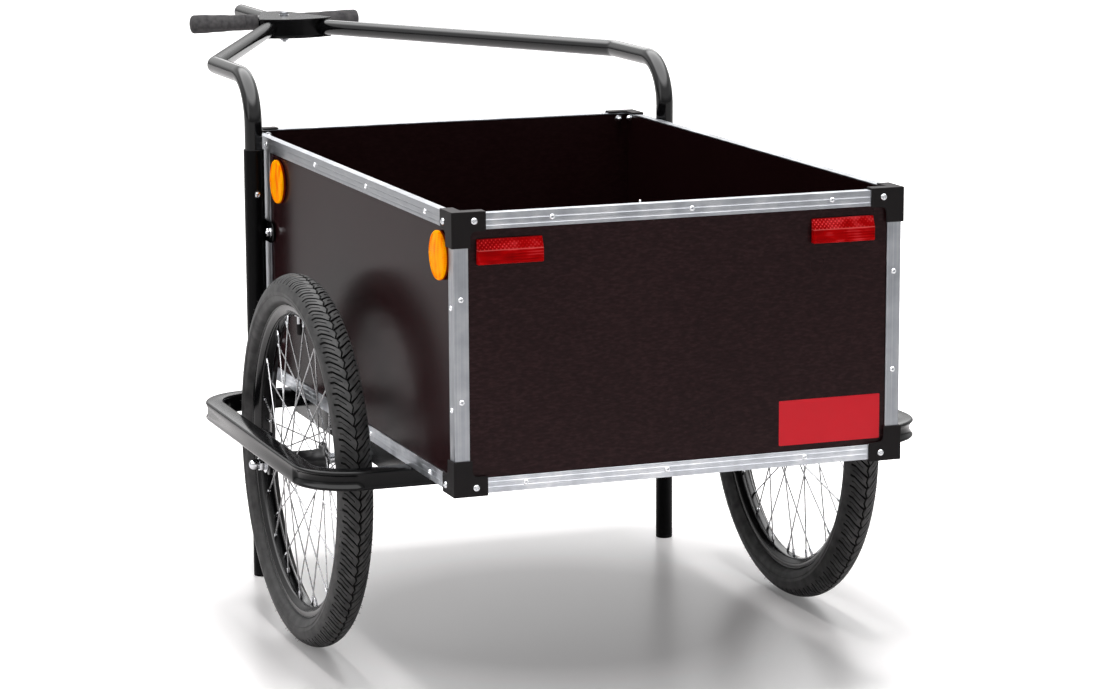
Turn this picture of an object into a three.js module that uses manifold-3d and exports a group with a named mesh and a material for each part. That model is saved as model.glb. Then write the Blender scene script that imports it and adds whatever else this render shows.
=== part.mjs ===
import * as THREE from 'three';
import { mergeVertices } from 'three/addons/utils/BufferGeometryUtils.js';
import Module from 'manifold-3d';

// Two-wheeled cargo bike trailer: a plywood box in aluminium angles, carried by a bent frame
// that also guards the wheels, with a height-adjustable drawbar and two stand legs.
// Lengths are millimetres, angles are degrees. +Z is up and +Y points along the drawbar.

// Clearances
const seatGap = 0.3;
const cutOverrun = 2;
const weldDepth = 0.5;

// Box
const boxWidth = 596;
const boxLength = 912;
const boxHeight = 345;
const boxAboveAxle = 44;
const panelThickness = 10;
const floorThickness = 10;

// Aluminium angles
const angleThickness = 2;
const rimLegHeight = 20;
const rimLegWidth = 12;
const postLegWidth = 19;
const baseLegHeight = 19;
const baseLegWidth = 20;
const grooveWidth = 1.6;
const grooveDepth = 0.5;
const groovePlaceShares = [0.4, 0.75];

// Three-way corner caps
const capThickness = 2.5;
const capArmLength = 41.5;
const capBandHeight = 21.5;
const capPostCover = 21.5;
const capTopWidth = 14.5;
const capFilletRadius = 8;

// Round side reflectors
const sideReflectorDiameter = 60;
const sideReflectorThickness = 8;
const sideReflectorBevel = 1.6;
const sideReflectorRearInset = 50;
const sideReflectorFrontInset = 154;
const sideReflectorBelowTop = 56;

// Rear reflectors
const rearReflectorWidth = 84;
const rearReflectorHeight = 31;
const rearReflectorThickness = 9;
const rearReflectorEdge = 3;
const rearReflectorRidge = 17;
const rearReflectorFoot = 1.5;
const rearReflectorLeftInset = 72;
const rearReflectorRightInset = 81;
const rearReflectorBelowTop = 47;

// Drawbar and leg sleeves
const tubeDiameter = 25;
const tubeWall = 1.5;
const sleeveWall = 1.7;
const sleeveInset = 89;
const sleeveBelowTop = 17;
const sleeveAboveBottom = 10;
const lugThickness = 2.2;
const lugHeight = 31;
const lugScrewSpacing = 54;
const lugBelowTop = 133;
const lugAboveBottom = 52;
const stripWidth = 40;
const clampScrewBelowTop = 80;
const clampScrewAboveBottom = 39;
const clampBossDiameter = 11;
const clampBossHeight = 4;

// Stand legs
const legAboveBottom = 76;
const legPlugLength = 12;
const plugRounding = 1.5;

// Drawbar arms
const armBelowTop = 125;
const armAboveTop = 84;
const armElbowReach = 201;
const armReach = 860;
const armEndX = 46;
const armDrop = 12.4;
const armRiseRadius = 66;
const armElbowRadius = 34;
const bendStepAngle = 15;

// Bracket at the front of the drawbar
const gussetThickness = 2.5;
const gussetPlay = 0.8;
const gussetRearHalfWidth = 62;
const gussetRearBulge = 22;
const gussetFrontHalfWidth = 22;
const gussetLength = 145;
const gussetCornerRadius = 6;
const trayFrontHalfWidth = 20;
const trayWall = 3;
const traySeatWidth = 30;
const drawbarBoltReach = 70;
const drawbarBoltDiameter = 8;
const drawbarHeadDiameter = 15;
const drawbarHeadHeight = 4.5;
const drawbarNutWidth = 13;
const drawbarNutHeight = 6.5;
const drawbarBoltTip = 4;

// Handlebar, grips and hitch tube
const handlebarReach = 128;
const handlebarDiameter = 22;
const handlebarHalfLength = 140;
const gripInnerX = 53;
const gripOuterX = 148;
const gripOuterDiameter = 32;
const gripInnerDiameter = 27;
const gripRounding = 6;
const gripThickLength = 18;
const hitchTubeLength = 217;
const hitchPlugLength = 10;

// Bent frame tube round each wheel
const frameTubeWidth = 25;
const frameTubeHeight = 25;
const frameTubeWall = 2;
const frameTubeEdge = 3;
const guardBesideWheel = 77.5;
const guardBeyondTyre = 32;
const frameBendRadius = 62;
const frameBendStep = 18;
const frameSinkDepth = 4.5;
const frameSinkLip = 4;
const frameSinkRamp = 9;

// Side rails and dropouts
const railInset = 3;
const railWidth = 25;
const railHeight = 30;
const railWall = 2;
const dropoutThickness = 5;
const dropoutWidth = 32;
const dropoutBelowAxle = 14;
const slotPlay = 0.4;

// Wheels
const axleY = -3;
const wheelBesideBox = 58;
const tyreAboveRim = 40.5;
const tyreWidth = 47;
const tyreCarcass = 3.5;
const tyreBeadDepth = 5;
const tyreLipAngle = 30;
const rimDiameter = 419;
const rimWidth = 27;
const rimFlange = 1.8;
const rimSide = 7;
const rimDepth = 14.5;
const rimBedWidth = 15;
const rimBedThickness = 4;
const rimShelf = 5.5;
const valveAngle = 82;
const valveLength = 27;
const valveDiameter = 7;

// Hubs and spokes
const hubShellDiameter = 28;
const hubFlangeDiameter = 46;
const hubFlangeThickness = 3;
const hubFlangeOffset = 26.5;
const hubEndDiameter = 22;
const hubEndOffset = 30;
const hubBore = 11.4;
const spokeCount = 36;
const spokeCrossAngle = 60;
const spokeDiameter = 2.2;
const spokeCircleDiameter = 39;
const spokeRimOffset = 3;
const spokeClearance = 2.5;
const spokeTipGap = 0.4;

// Axles
const axleDiameter = 10;
const coneDiameter = 17;
const coneLength = 6;
const spacerDiameter = 14;
const axleInnerReach = 12;
const axleNutWidth = 17;
const axleNutHeight = 8;
const axleWasherDiameter = 19;
const axleWasherThickness = 2;
const axleCapDiameter = 14;
const axleCapLength = 13;

// Facet counts
const tubeSides = 14;
const smallSides = 10;
const hexSides = 6;
const wheelSides = 36;
const tyreArcSteps = 8;
const carcassArcSteps = 4;
const hubSides = 16;
const spokeSides = 4;
const reflectorSides = 16;
const curveSteps = 3;

// Worked-out places
const tyreDiameter = rimDiameter + 2 * tyreAboveRim;
const axleZ = tyreDiameter / 2;
const boxBottom = axleZ + boxAboveAxle;
const boxTop = boxBottom + boxHeight;
const panelInset = angleThickness + seatGap;
const panelInner = panelInset + panelThickness;
const capReach = seatGap + capThickness;
const tubeRadius = tubeDiameter / 2;
const sleeveRadius = tubeRadius + seatGap + sleeveWall;
const sleeveX = boxWidth / 2 + seatGap + lugThickness + sleeveRadius;
const sleeveY = boxLength / 2 - sleeveInset;
const sleeveTop = boxTop - sleeveBelowTop;
const sleeveBottom = boxBottom + sleeveAboveBottom;
const lugUpperZ = boxTop - lugBelowTop;
const lugLowerZ = boxBottom + lugAboveBottom;
const clampScrewZ = boxTop - clampScrewBelowTop;
const clampScrewLegZ = boxBottom + clampScrewAboveBottom;
const legTop = boxBottom + legAboveBottom;
const armBottom = boxTop - armBelowTop;
const armTopZ = boxTop + armAboveTop;
const armEndZ = armTopZ - armDrop;
const armElbowY = sleeveY + armElbowReach;
const armEndY = sleeveY + armReach;
const gussetRearY = armEndY;
const gussetFrontY = armEndY + gussetLength;
const drawbarBoltY = armEndY + drawbarBoltReach;
const handlebarY = armEndY + handlebarReach;
const hitchTubeEndY = handlebarY + hitchTubeLength;
const gussetHalfGap = tubeRadius + gussetPlay + seatGap;
const wheelPlaneX = boxWidth / 2 + wheelBesideBox;
const railOuterX = boxWidth / 2 - railInset;
const frameHalfWidth = wheelPlaneX + guardBesideWheel;
const frameHalfLength = tyreDiameter / 2 + guardBeyondTyre;
const frameTop = boxBottom - seatGap;
const frameMidZ = frameTop - frameTubeHeight / 2;
const frameCentreX = frameHalfWidth - frameTubeWidth / 2;
const frameCentreY = frameHalfLength - frameTubeWidth / 2;
const rimInnerRadius = rimDiameter / 2 - rimDepth;
const dropoutInnerFaceX = railOuterX + dropoutThickness;
const dropoutOuterFaceX = frameHalfWidth - frameTubeWidth - dropoutThickness;
const spacerInnerX = dropoutInnerFaceX + seatGap;
const spacerOuterX = dropoutOuterFaceX - seatGap;

const colours = {
  plywood: [0x241914, 0.45, 0],
  aluminium: [0xb9bec4, 0.35, 0.9],
  cap: [0x101012, 0.5, 0],
  tube: [0x121214, 0.35, 0.3],
  foam: [0x3a3a3c, 0.9, 0],
  amber: [0xff9a10, 0.25, 0],
  red: [0xc01018, 0.25, 0],
  rubber: [0x1d1d1f, 0.8, 0],
  rim: [0x0c0c0e, 0.3, 0.2],
  steel: [0xc9ccd0, 0.25, 0.95],
};

const wasm = await Module();
wasm.setup();

// A closed three.js geometry as a solid that can be joined and cut.
function toSolid(geometry) {
  const plain = geometry.clone();
  plain.deleteAttribute('normal');
  plain.deleteAttribute('uv');
  const merged = mergeVertices(plain);
  return new wasm.Manifold(new wasm.Mesh({
    numProp: 3,
    vertProperties: new Float32Array(merged.attributes.position.array),
    triVerts: new Uint32Array(merged.index.array),
  }));
}

function toGeometry(solid) {
  const mesh = solid.getMesh();
  const geometry = new THREE.BufferGeometry();
  geometry.setAttribute('position', new THREE.BufferAttribute(mesh.vertProperties, 3));
  geometry.setIndex(new THREE.BufferAttribute(mesh.triVerts, 1));
  geometry.computeVertexNormals();
  return geometry;
}

function join(first, ...others) {
  return toGeometry(others.reduce((solid, other) => solid.add(toSolid(other)), toSolid(first)));
}

function cut(first, ...others) {
  return toGeometry(others.reduce((solid, other) => solid.subtract(toSolid(other)), toSolid(first)));
}

// A box between two corners.
function block(low, high) {
  const size = new THREE.Vector3().subVectors(high, low);
  const centre = new THREE.Vector3().addVectors(low, high).multiplyScalar(0.5);
  return new THREE.BoxGeometry(size.x, size.y, size.z).translate(centre.x, centre.y, centre.z);
}

function vector(x, y, z) {
  return new THREE.Vector3(x, y, z);
}

// Places a geometry made in its own axes: u, v and w say where its x, y and z point.
function orient(geometry, origin, u, v) {
  const w = new THREE.Vector3().crossVectors(u, v);
  return geometry.applyMatrix4(new THREE.Matrix4().makeBasis(u, v, w).setPosition(origin));
}

function outline(points) {
  return new THREE.Shape(points.map(([x, y]) => new THREE.Vector2(x, y)));
}

function prism(shape, depth, curveSegments = curveSteps) {
  return new THREE.ExtrudeGeometry(shape, { depth, curveSegments, bevelEnabled: false });
}

// A revolved profile of [radius, height] points, with its axis along +Z.
function revolve(profile, sides) {
  const points = profile.map(([radius, height]) => new THREE.Vector2(radius, height));
  return new THREE.LatheGeometry(points, sides).rotateX(Math.PI / 2);
}

function rod(radius, start, end, sides) {
  const length = start.distanceTo(end);
  const along = new THREE.Vector3().subVectors(end, start).normalize();
  const turn = new THREE.Quaternion().setFromUnitVectors(vector(0, 0, 1), along);
  const geometry = revolve([[0, 0], [radius, 0], [radius, length], [0, length]], sides);
  return geometry.applyQuaternion(turn).translate(start.x, start.y, start.z);
}

// The centre line of a bent tube: straight runs joined by circular bends, with points only where
// the tube starts, turns and ends.
class BentLine extends THREE.Curve {
  constructor(corners, radii, stepAngle) {
    super();
    this.points = [corners[0]];
    this.tangents = [new THREE.Vector3().subVectors(corners[1], corners[0]).normalize()];
    for (let i = 1; i < corners.length - 1; i += 1) {
      this.addBend(corners[i - 1], corners[i], corners[i + 1], radii[i - 1], stepAngle);
    }
    this.points.push(corners[corners.length - 1]);
    this.tangents.push(this.tangents[this.tangents.length - 1].clone());
  }

  addBend(before, corner, after, radius, stepAngle) {
    const into = new THREE.Vector3().subVectors(corner, before).normalize();
    const out = new THREE.Vector3().subVectors(after, corner).normalize();
    const turn = into.angleTo(out);
    const axis = new THREE.Vector3().crossVectors(into, out).normalize();
    const start = corner.clone().addScaledVector(into, -radius * Math.tan(turn / 2));
    const inward = new THREE.Vector3().crossVectors(axis, into);
    const centre = start.clone().addScaledVector(inward, radius);
    const steps = Math.ceil(turn / THREE.MathUtils.degToRad(stepAngle));
    for (let i = 0; i <= steps; i += 1) {
      const angle = turn * i / steps;
      const arm = inward.clone().multiplyScalar(-radius).applyAxisAngle(axis, angle);
      this.points.push(centre.clone().add(arm));
      this.tangents.push(into.clone().applyAxisAngle(axis, angle));
    }
  }

  get stepCount() {
    return this.points.length - 1;
  }

  getPointAt(u) {
    return this.points[Math.round(u * this.stepCount)].clone();
  }

  getTangentAt(u) {
    return this.tangents[Math.round(u * this.stepCount)].clone();
  }
}

function sweep(shape, line) {
  return new THREE.ExtrudeGeometry(shape, {
    steps: line.stepCount,
    extrudePath: line,
    curveSegments: tubeSides / 2,
  });
}

function roundTubeShape(radius, bore) {
  const shape = new THREE.Shape().absarc(0, 0, radius, 0, 2 * Math.PI);
  shape.holes.push(new THREE.Path().absarc(0, 0, bore, 0, 2 * Math.PI, true));
  return shape;
}

// The radius of a faceted bore whose flats keep the seat gap to a rod of the given radius.
function boreRound(radius, sideCount) {
  return (radius + seatGap) / Math.cos(Math.PI / sideCount);
}

// An aluminium angle. Its outer corner runs along w; leg U covers the v = 0 face and leg V the
// u = 0 face. The outer face of leg V carries the two fine grooves of the extrusion.
function angleBar(origin, u, v, length, legU, legV, mitred) {
  const points = [[0, 0], [legU, 0], [legU, angleThickness], [angleThickness, angleThickness]];
  points.push([angleThickness, legV], [0, legV]);
  for (const share of groovePlaceShares.toReversed()) {
    const top = share * legV + grooveWidth / 2;
    const bottom = share * legV - grooveWidth / 2;
    points.push([0, top], [grooveDepth, share * legV], [0, bottom]);
  }
  const geometry = prism(outline(points), length);
  if (mitred) {
    const place = geometry.attributes.position;
    for (let i = 0; i < place.count; i += 1) {
      const shift = place.getX(i) + seatGap / 2;
      place.setZ(i, place.getZ(i) > length / 2 ? length - shift : shift);
    }
  }
  return orient(geometry, origin, u, v);
}

// The four sides of the box: a name, the way inward, and the half size across.
const sides = [
  { name: 'left', inward: vector(1, 0, 0), across: boxLength, out: boxWidth / 2 },
  { name: 'right', inward: vector(-1, 0, 0), across: boxLength, out: boxWidth / 2 },
  { name: 'rear', inward: vector(0, 1, 0), across: boxWidth, out: boxLength / 2 },
  { name: 'front', inward: vector(0, -1, 0), across: boxWidth, out: boxLength / 2 },
];

function edgeAngle(side, height, vertical, legWidth, legHeight) {
  const along = new THREE.Vector3().crossVectors(side.inward, vertical);
  const origin = side.inward.clone().multiplyScalar(-side.out);
  origin.addScaledVector(along, -side.across / 2).setZ(height);
  return angleBar(origin, side.inward, vertical, side.across, legWidth, legHeight, true);
}

function rimAngle(side) {
  return edgeAngle(side, boxTop, vector(0, 0, -1), rimLegWidth, rimLegHeight);
}

function baseAngle(side) {
  return edgeAngle(side, boxBottom, vector(0, 0, 1), baseLegWidth, baseLegHeight);
}

function cornerPost(xSign, ySign) {
  const u = vector(-xSign, 0, 0);
  const v = vector(0, -ySign, 0);
  const low = boxBottom + baseLegHeight + seatGap;
  const high = boxTop - rimLegHeight - seatGap;
  const rises = xSign * ySign > 0;
  const origin = vector(xSign * boxWidth / 2, ySign * boxLength / 2, rises ? low : high);
  return angleBar(origin, u, v, high - low, postLegWidth, postLegWidth, false);
}

function sidePanel(xSign) {
  const near = boxWidth / 2 - panelInner;
  const far = boxWidth / 2 - panelInset;
  const reach = boxLength / 2 - panelInset;
  const low = vector(Math.min(xSign * near, xSign * far), -reach, boxBottom + panelInset);
  const high = vector(Math.max(xSign * near, xSign * far), reach, boxTop - panelInset);
  return block(low, high);
}

function endPanel(ySign) {
  const near = boxLength / 2 - panelInner;
  const far = boxLength / 2 - panelInset;
  const reach = boxWidth / 2 - panelInner - seatGap;
  const low = vector(-reach, Math.min(ySign * near, ySign * far), boxBottom + panelInset);
  const high = vector(reach, Math.max(ySign * near, ySign * far), boxTop - panelInset);
  return block(low, high);
}

function floorPanel() {
  const halfWidth = boxWidth / 2 - panelInner - seatGap;
  const halfLength = boxLength / 2 - panelInner - seatGap;
  const bottom = boxBottom + panelInset;
  return block(
    vector(-halfWidth, -halfLength, bottom),
    vector(halfWidth, halfLength, bottom + floorThickness),
  );
}

// One arm-shaped plate of a corner cap: two bands that meet at the corner, with a filleted
// inside corner. First and second are the widths of the bands along the two axes.
function capPlate(firstWidth, secondWidth, fillet) {
  const shape = new THREE.Shape();
  shape.moveTo(-capReach, -capReach);
  shape.lineTo(capArmLength, -capReach);
  shape.lineTo(capArmLength, firstWidth);
  shape.lineTo(secondWidth + fillet, firstWidth);
  shape.quadraticCurveTo(secondWidth, firstWidth, secondWidth, firstWidth + fillet);
  shape.lineTo(secondWidth, capArmLength);
  shape.lineTo(-capReach, capArmLength);
  shape.closePath();
  return prism(shape, capThickness);
}

// A three-way cap in the corner's own axes: x, y and z point into the box from its corner.
function cornerCap() {
  const fillet = Math.min(capFilletRadius, (capArmLength - capBandHeight) / 2);
  const onSide = orient(
    capPlate(capBandHeight, capPostCover, fillet),
    vector(-capReach, 0, 0), vector(0, 1, 0), vector(0, 0, 1),
  );
  const onEnd = orient(
    capPlate(capPostCover, capBandHeight, fillet),
    vector(0, -capReach, 0), vector(0, 0, 1), vector(1, 0, 0),
  );
  const onTop = capPlate(capTopWidth, capTopWidth, 0).translate(0, 0, -capReach);
  return join(onSide, onEnd, onTop);
}

function sideReflector(y) {
  const radius = sideReflectorDiameter / 2;
  const edge = radius - sideReflectorBevel;
  const depth = sideReflectorThickness;
  const disc = revolve([
    [0, 0], [edge, 0], [radius, sideReflectorBevel],
    [radius, depth - 2 * sideReflectorBevel], [edge, depth - sideReflectorBevel], [0, depth],
  ], reflectorSides);
  const x = boxWidth / 2 - panelInset + seatGap;
  return disc.rotateY(Math.PI / 2).translate(x, y, boxTop - sideReflectorBelowTop);
}

// A rear reflector: upright below its ridge and sloping back above it.
function rearReflector(x) {
  const shape = outline([
    [0, 0],
    [0, rearReflectorHeight],
    [rearReflectorEdge, rearReflectorHeight],
    [rearReflectorThickness, rearReflectorRidge],
    [rearReflectorThickness, rearReflectorFoot],
    [rearReflectorThickness - rearReflectorFoot, 0],
  ]);
  const origin = vector(
    x + rearReflectorWidth / 2,
    -boxLength / 2 + panelInset - seatGap,
    boxTop - rearReflectorBelowTop - rearReflectorHeight / 2,
  );
  return orient(prism(shape, rearReflectorWidth), origin, vector(0, -1, 0), vector(0, 0, 1));
}

function lugPlate(z) {
  const end = lugHeight / 2;
  const half = lugScrewSpacing / 2;
  const shape = new THREE.Shape();
  shape.absarc(half, 0, end, -Math.PI / 2, Math.PI / 2);
  shape.absarc(-half, 0, end, Math.PI / 2, 3 * Math.PI / 2);
  const origin = vector(sleeveX - sleeveRadius - lugThickness, sleeveY, z);
  const plate = prism(shape, lugThickness + weldDepth);
  return orient(plate, origin, vector(0, 1, 0), vector(0, 0, 1));
}

// The sleeve that the drawbar arm enters from above and the stand leg from below, with its two
// welded lugs and the bosses of its two clamp screws.
function sleeve() {
  const length = sleeveTop - sleeveBottom;
  const section = roundTubeShape(sleeveRadius, boreRound(tubeRadius, tubeSides));
  const tube = prism(section, length, tubeSides / 2);
  tube.translate(sleeveX, sleeveY, sleeveBottom);
  const bosses = [clampScrewZ, clampScrewLegZ].map((z) => rod(
    clampBossDiameter / 2,
    vector(sleeveX, sleeveY - sleeveRadius - clampBossHeight, z),
    vector(sleeveX, sleeveY - sleeveRadius + weldDepth, z),
    smallSides,
  ));
  return join(tube, ...bosses, lugPlate(lugUpperZ), lugPlate(lugLowerZ));
}

function backingStrip() {
  const outer = boxWidth / 2;
  return block(
    vector(outer - angleThickness, sleeveY - stripWidth / 2, boxBottom + baseLegHeight + seatGap),
    vector(outer, sleeveY + stripWidth / 2, boxTop - rimLegHeight - seatGap),
  );
}

// A tube with a plug in its far end: it stands on z = 0 and rises to its open end.
function pluggedTube(length, radius, wall, plugLength, rounding) {
  return revolve([
    [0, 0], [radius - rounding, 0], [radius, rounding], [radius, length],
    [radius - wall, length], [radius - wall, plugLength], [0, plugLength],
  ], tubeSides);
}

function standLeg() {
  const leg = pluggedTube(legTop, tubeRadius, tubeWall, legPlugLength, plugRounding);
  return leg.translate(sleeveX, sleeveY, 0);
}

function drawbarArm() {
  const corners = [
    vector(sleeveX, sleeveY, armBottom),
    vector(sleeveX, sleeveY, armTopZ),
    vector(sleeveX, armElbowY, armTopZ),
    vector(armEndX, armEndY, armEndZ),
  ];
  const line = new BentLine(corners, [armRiseRadius, armElbowRadius], bendStepAngle);
  return sweep(roundTubeShape(tubeRadius, tubeRadius - tubeWall), line);
}

// The plate that covers the arm ends: wide and bowed at the rear, narrow at the handlebar.
function gussetShape() {
  const shape = new THREE.Shape();
  const corner = gussetCornerRadius;
  const wide = gussetRearHalfWidth;
  const narrow = gussetFrontHalfWidth;
  shape.moveTo(-wide, gussetRearY);
  shape.quadraticCurveTo(0, gussetRearY - 2 * gussetRearBulge, wide, gussetRearY);
  shape.lineTo(wide, gussetRearY + corner);
  shape.lineTo(narrow, gussetFrontY - corner);
  shape.quadraticCurveTo(narrow, gussetFrontY, narrow - corner, gussetFrontY);
  shape.lineTo(corner - narrow, gussetFrontY);
  shape.quadraticCurveTo(-narrow, gussetFrontY, -narrow, gussetFrontY - corner);
  shape.lineTo(-wide, gussetRearY + corner);
  shape.closePath();
  return shape;
}

function boltHole() {
  return rod(
    boreRound(drawbarBoltDiameter / 2, smallSides),
    vector(0, drawbarBoltY, armEndZ - gussetHalfGap - gussetThickness - cutOverrun),
    vector(0, drawbarBoltY, armEndZ + gussetHalfGap + gussetThickness + cutOverrun),
    smallSides,
  );
}

function upperGusset() {
  const plate = prism(gussetShape(), gussetThickness, 2 * curveSteps);
  return cut(plate.translate(0, 0, armEndZ + gussetHalfGap), boltHole());
}

// The lower gusset carries a folded tray between the arm ends. Its rear corners face the arms
// squarely and its front end is hollowed to the handlebar.
function lowerGusset() {
  const plate = prism(gussetShape(), gussetThickness, 2 * curveSteps);
  plate.translate(0, 0, armEndZ - gussetHalfGap - gussetThickness);
  const arm = vector(armEndX - sleeveX, armEndY - armElbowY, 0).normalize();
  const faceX = armEndX + arm.x * seatGap;
  const faceY = armEndY + arm.y * seatGap;
  const half = traySeatWidth / 2;
  const innerX = faceX - arm.y * half;
  const innerY = faceY + arm.x * half;
  const outerX = faceX + arm.y * half;
  const outerY = faceY - arm.x * half;
  const traySides = [
    [innerX, innerY], [outerX, outerY], [trayFrontHalfWidth, handlebarY],
    [-trayFrontHalfWidth, handlebarY], [-outerX, outerY], [-innerX, innerY],
  ];
  const low = armEndZ - gussetHalfGap - weldDepth;
  const body = prism(outline(traySides), 2 * gussetHalfGap + weldDepth - seatGap);
  body.translate(0, 0, low);
  const pocket = block(
    vector(trayWall - trayFrontHalfWidth, innerY + trayWall, armEndZ - gussetHalfGap),
    vector(
      trayFrontHalfWidth - trayWall,
      handlebarY - handlebarDiameter / 2 - trayWall,
      armEndZ + gussetHalfGap + cutOverrun,
    ),
  );
  return cut(join(plate, body), pocket, handlebarCut(), boltHole());
}

function handlebarCut() {
  return rod(
    boreRound(handlebarDiameter / 2, tubeSides),
    vector(-handlebarHalfLength, handlebarY, armEndZ),
    vector(handlebarHalfLength, handlebarY, armEndZ),
    tubeSides,
  );
}

// The bracket's bolt with its domed head above the plates and its nut below.
function drawbarBolt() {
  const top = gussetHalfGap + gussetThickness + seatGap;
  const shank = drawbarBoltDiameter / 2;
  const head = drawbarHeadDiameter / 2;
  const shaft = revolve([
    [0, -top - drawbarNutHeight - drawbarBoltTip],
    [shank, -top - drawbarNutHeight - drawbarBoltTip],
    [shank, top],
    [head, top],
    [head, top + drawbarHeadHeight / 2],
    [head / 2, top + drawbarHeadHeight],
    [0, top + drawbarHeadHeight],
  ], smallSides);
  const nut = hexPrism(drawbarNutWidth, drawbarNutHeight).translate(0, 0, -top - drawbarNutHeight);
  return join(shaft, nut).translate(0, drawbarBoltY, armEndZ);
}

function hexPrism(acrossFlats, height) {
  const radius = acrossFlats / 2 / Math.cos(Math.PI / hexSides);
  return revolve([[0, 0], [radius, 0], [radius, height], [0, height]], hexSides);
}

function handlebar() {
  const radius = handlebarDiameter / 2;
  const section = roundTubeShape(radius, radius - tubeWall);
  const tube = prism(section, 2 * handlebarHalfLength, tubeSides / 2);
  const start = vector(-handlebarHalfLength, handlebarY, armEndZ);
  return orient(tube, start, vector(0, 1, 0), vector(0, 0, 1));
}

// A foam grip: closed and rounded at its outer end, thinner towards the bracket.
function grip() {
  const bore = boreRound(handlebarDiameter / 2, tubeSides);
  const outer = gripOuterDiameter / 2;
  const inner = gripInnerDiameter / 2;
  const boreEnd = handlebarHalfLength + seatGap;
  const edge = gripRounding / 3;
  const solid = revolve([
    [0, boreEnd], [bore, boreEnd], [bore, gripInnerX], [inner, gripInnerX],
    [outer, gripOuterX - gripThickLength], [outer, gripOuterX - gripRounding],
    [outer - edge, gripOuterX - edge], [outer - gripRounding, gripOuterX], [0, gripOuterX],
  ], tubeSides);
  return solid.rotateY(Math.PI / 2).translate(0, handlebarY, armEndZ);
}

function hitchTube() {
  const length = hitchTubeEndY - handlebarY;
  const tube = pluggedTube(length, tubeRadius, tubeWall, hitchPlugLength, plugRounding);
  tube.rotateX(Math.PI / 2).translate(0, hitchTubeEndY, armEndZ);
  return cut(tube, handlebarCut());
}

// The section of the frame tube: x is down, y is away from the wheel. The outer wall has extra
// points, so that it can sink between its lips where the tube is bent.
function frameSection() {
  const high = frameTubeHeight / 2;
  const wide = frameTubeWidth / 2;
  const edge = frameTubeEdge;
  const lip = high - frameSinkLip;
  const shape = outline([
    [-high, -wide + edge], [-high + edge, -wide], [high - edge, -wide], [high, -wide + edge],
    [high, wide - edge], [high - edge, wide], [lip, wide], [0, wide], [-lip, wide],
    [-high + edge, wide], [-high, wide - edge],
  ]);
  const innerHigh = high - frameTubeWall;
  const innerWide = wide - frameTubeWall;
  shape.holes.push(new THREE.Path([
    [-innerHigh, -innerWide], [-innerHigh, innerWide], [-lip, innerWide], [0, innerWide],
    [lip, innerWide], [innerHigh, innerWide], [innerHigh, -innerWide],
  ].map(([x, y]) => new THREE.Vector2(x, y))));
  return shape;
}

// Bending draws the outer wall of the tube inward between its lips.
function sinkBends(geometry) {
  const centreX = frameCentreX - frameBendRadius;
  const centreY = frameCentreY - frameBendRadius;
  const ramp = THREE.MathUtils.degToRad(frameSinkRamp);
  const lip = frameTubeHeight / 2 - frameSinkLip;
  const place = geometry.attributes.position;
  for (let i = 0; i < place.count; i += 1) {
    const x = place.getX(i) - centreX;
    const y = Math.abs(place.getY(i)) - centreY;
    const radius = Math.hypot(x, y);
    const onOuterWall = radius > frameBendRadius + frameTubeWidth / 4;
    if (x > 0 && y > 0 && onOuterWall && Math.abs(place.getZ(i) - frameMidZ) < lip + seatGap) {
      const angle = Math.atan2(y, x);
      const fromEnd = Math.min(angle, Math.PI / 2 - angle);
      const depth = Math.abs(place.getZ(i) - frameMidZ) < lip / 2 ? frameSinkDepth : frameSinkDepth / 2;
      const scale = (radius - depth * Math.min(1, fromEnd / ramp)) / radius;
      place.setX(i, centreX + x * scale);
      place.setY(i, Math.sign(place.getY(i)) * (centreY + y * scale));
    }
  }
  return geometry;
}

// Half of the frame: a bent tube from under the box, round one wheel and back, with the outer
// dropout welded to its inner face.
function frameHalf() {
  const corners = [
    vector(seatGap / 2, frameCentreY, frameMidZ),
    vector(frameCentreX, frameCentreY, frameMidZ),
    vector(frameCentreX, -frameCentreY, frameMidZ),
    vector(seatGap / 2, -frameCentreY, frameMidZ),
  ];
  const line = new BentLine(corners, [frameBendRadius, frameBendRadius], frameBendStep);
  const tube = sinkBends(sweep(frameSection(), line));
  return join(tube, dropout(dropoutOuterFaceX, weldDepth)).translate(0, axleY, 0);
}

// A dropout plate with a slot that is open below, made on the plane x = face about y = 0.
function dropout(face, sunk) {
  const half = dropoutWidth / 2;
  const slot = axleDiameter / 2 + slotPlay;
  const low = axleZ - dropoutBelowAxle;
  const shape = new THREE.Shape();
  shape.moveTo(-half, frameTop);
  shape.lineTo(-half, low + half / 2);
  shape.quadraticCurveTo(-half, low, -(half + slot) / 2, low);
  shape.lineTo(-slot, low);
  shape.lineTo(-slot, axleZ);
  shape.absarc(0, axleZ, slot, Math.PI, 0, true);
  shape.lineTo(slot, low);
  shape.lineTo((half + slot) / 2, low);
  shape.quadraticCurveTo(half, low, half, low + half / 2);
  shape.lineTo(half, frameTop);
  shape.closePath();
  const plate = prism(shape, dropoutThickness + sunk, curveSteps);
  return orient(plate, vector(face, 0, 0), vector(0, 1, 0), vector(0, 0, 1));
}

// The rail under the side of the box, with the inner dropout welded to its outer face.
function sideRail() {
  const reach = frameHalfLength - frameTubeWidth - seatGap;
  const half = railWidth / 2;
  const high = railHeight / 2;
  const shape = outline([[-half, -high], [half, -high], [half, high], [-half, high]]);
  const innerHalf = half - railWall;
  const innerHigh = high - railWall;
  shape.holes.push(new THREE.Path([
    [-innerHalf, -innerHigh], [-innerHalf, innerHigh], [innerHalf, innerHigh], [innerHalf, -innerHigh],
  ].map(([x, y]) => new THREE.Vector2(x, y))));
  const origin = vector(railOuterX - half, reach, frameTop - high);
  const tube = orient(prism(shape, 2 * reach), origin, vector(1, 0, 0), vector(0, 0, 1));
  return join(tube, dropout(railOuterX - weldDepth, weldDepth)).translate(0, axleY, 0);
}

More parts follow.
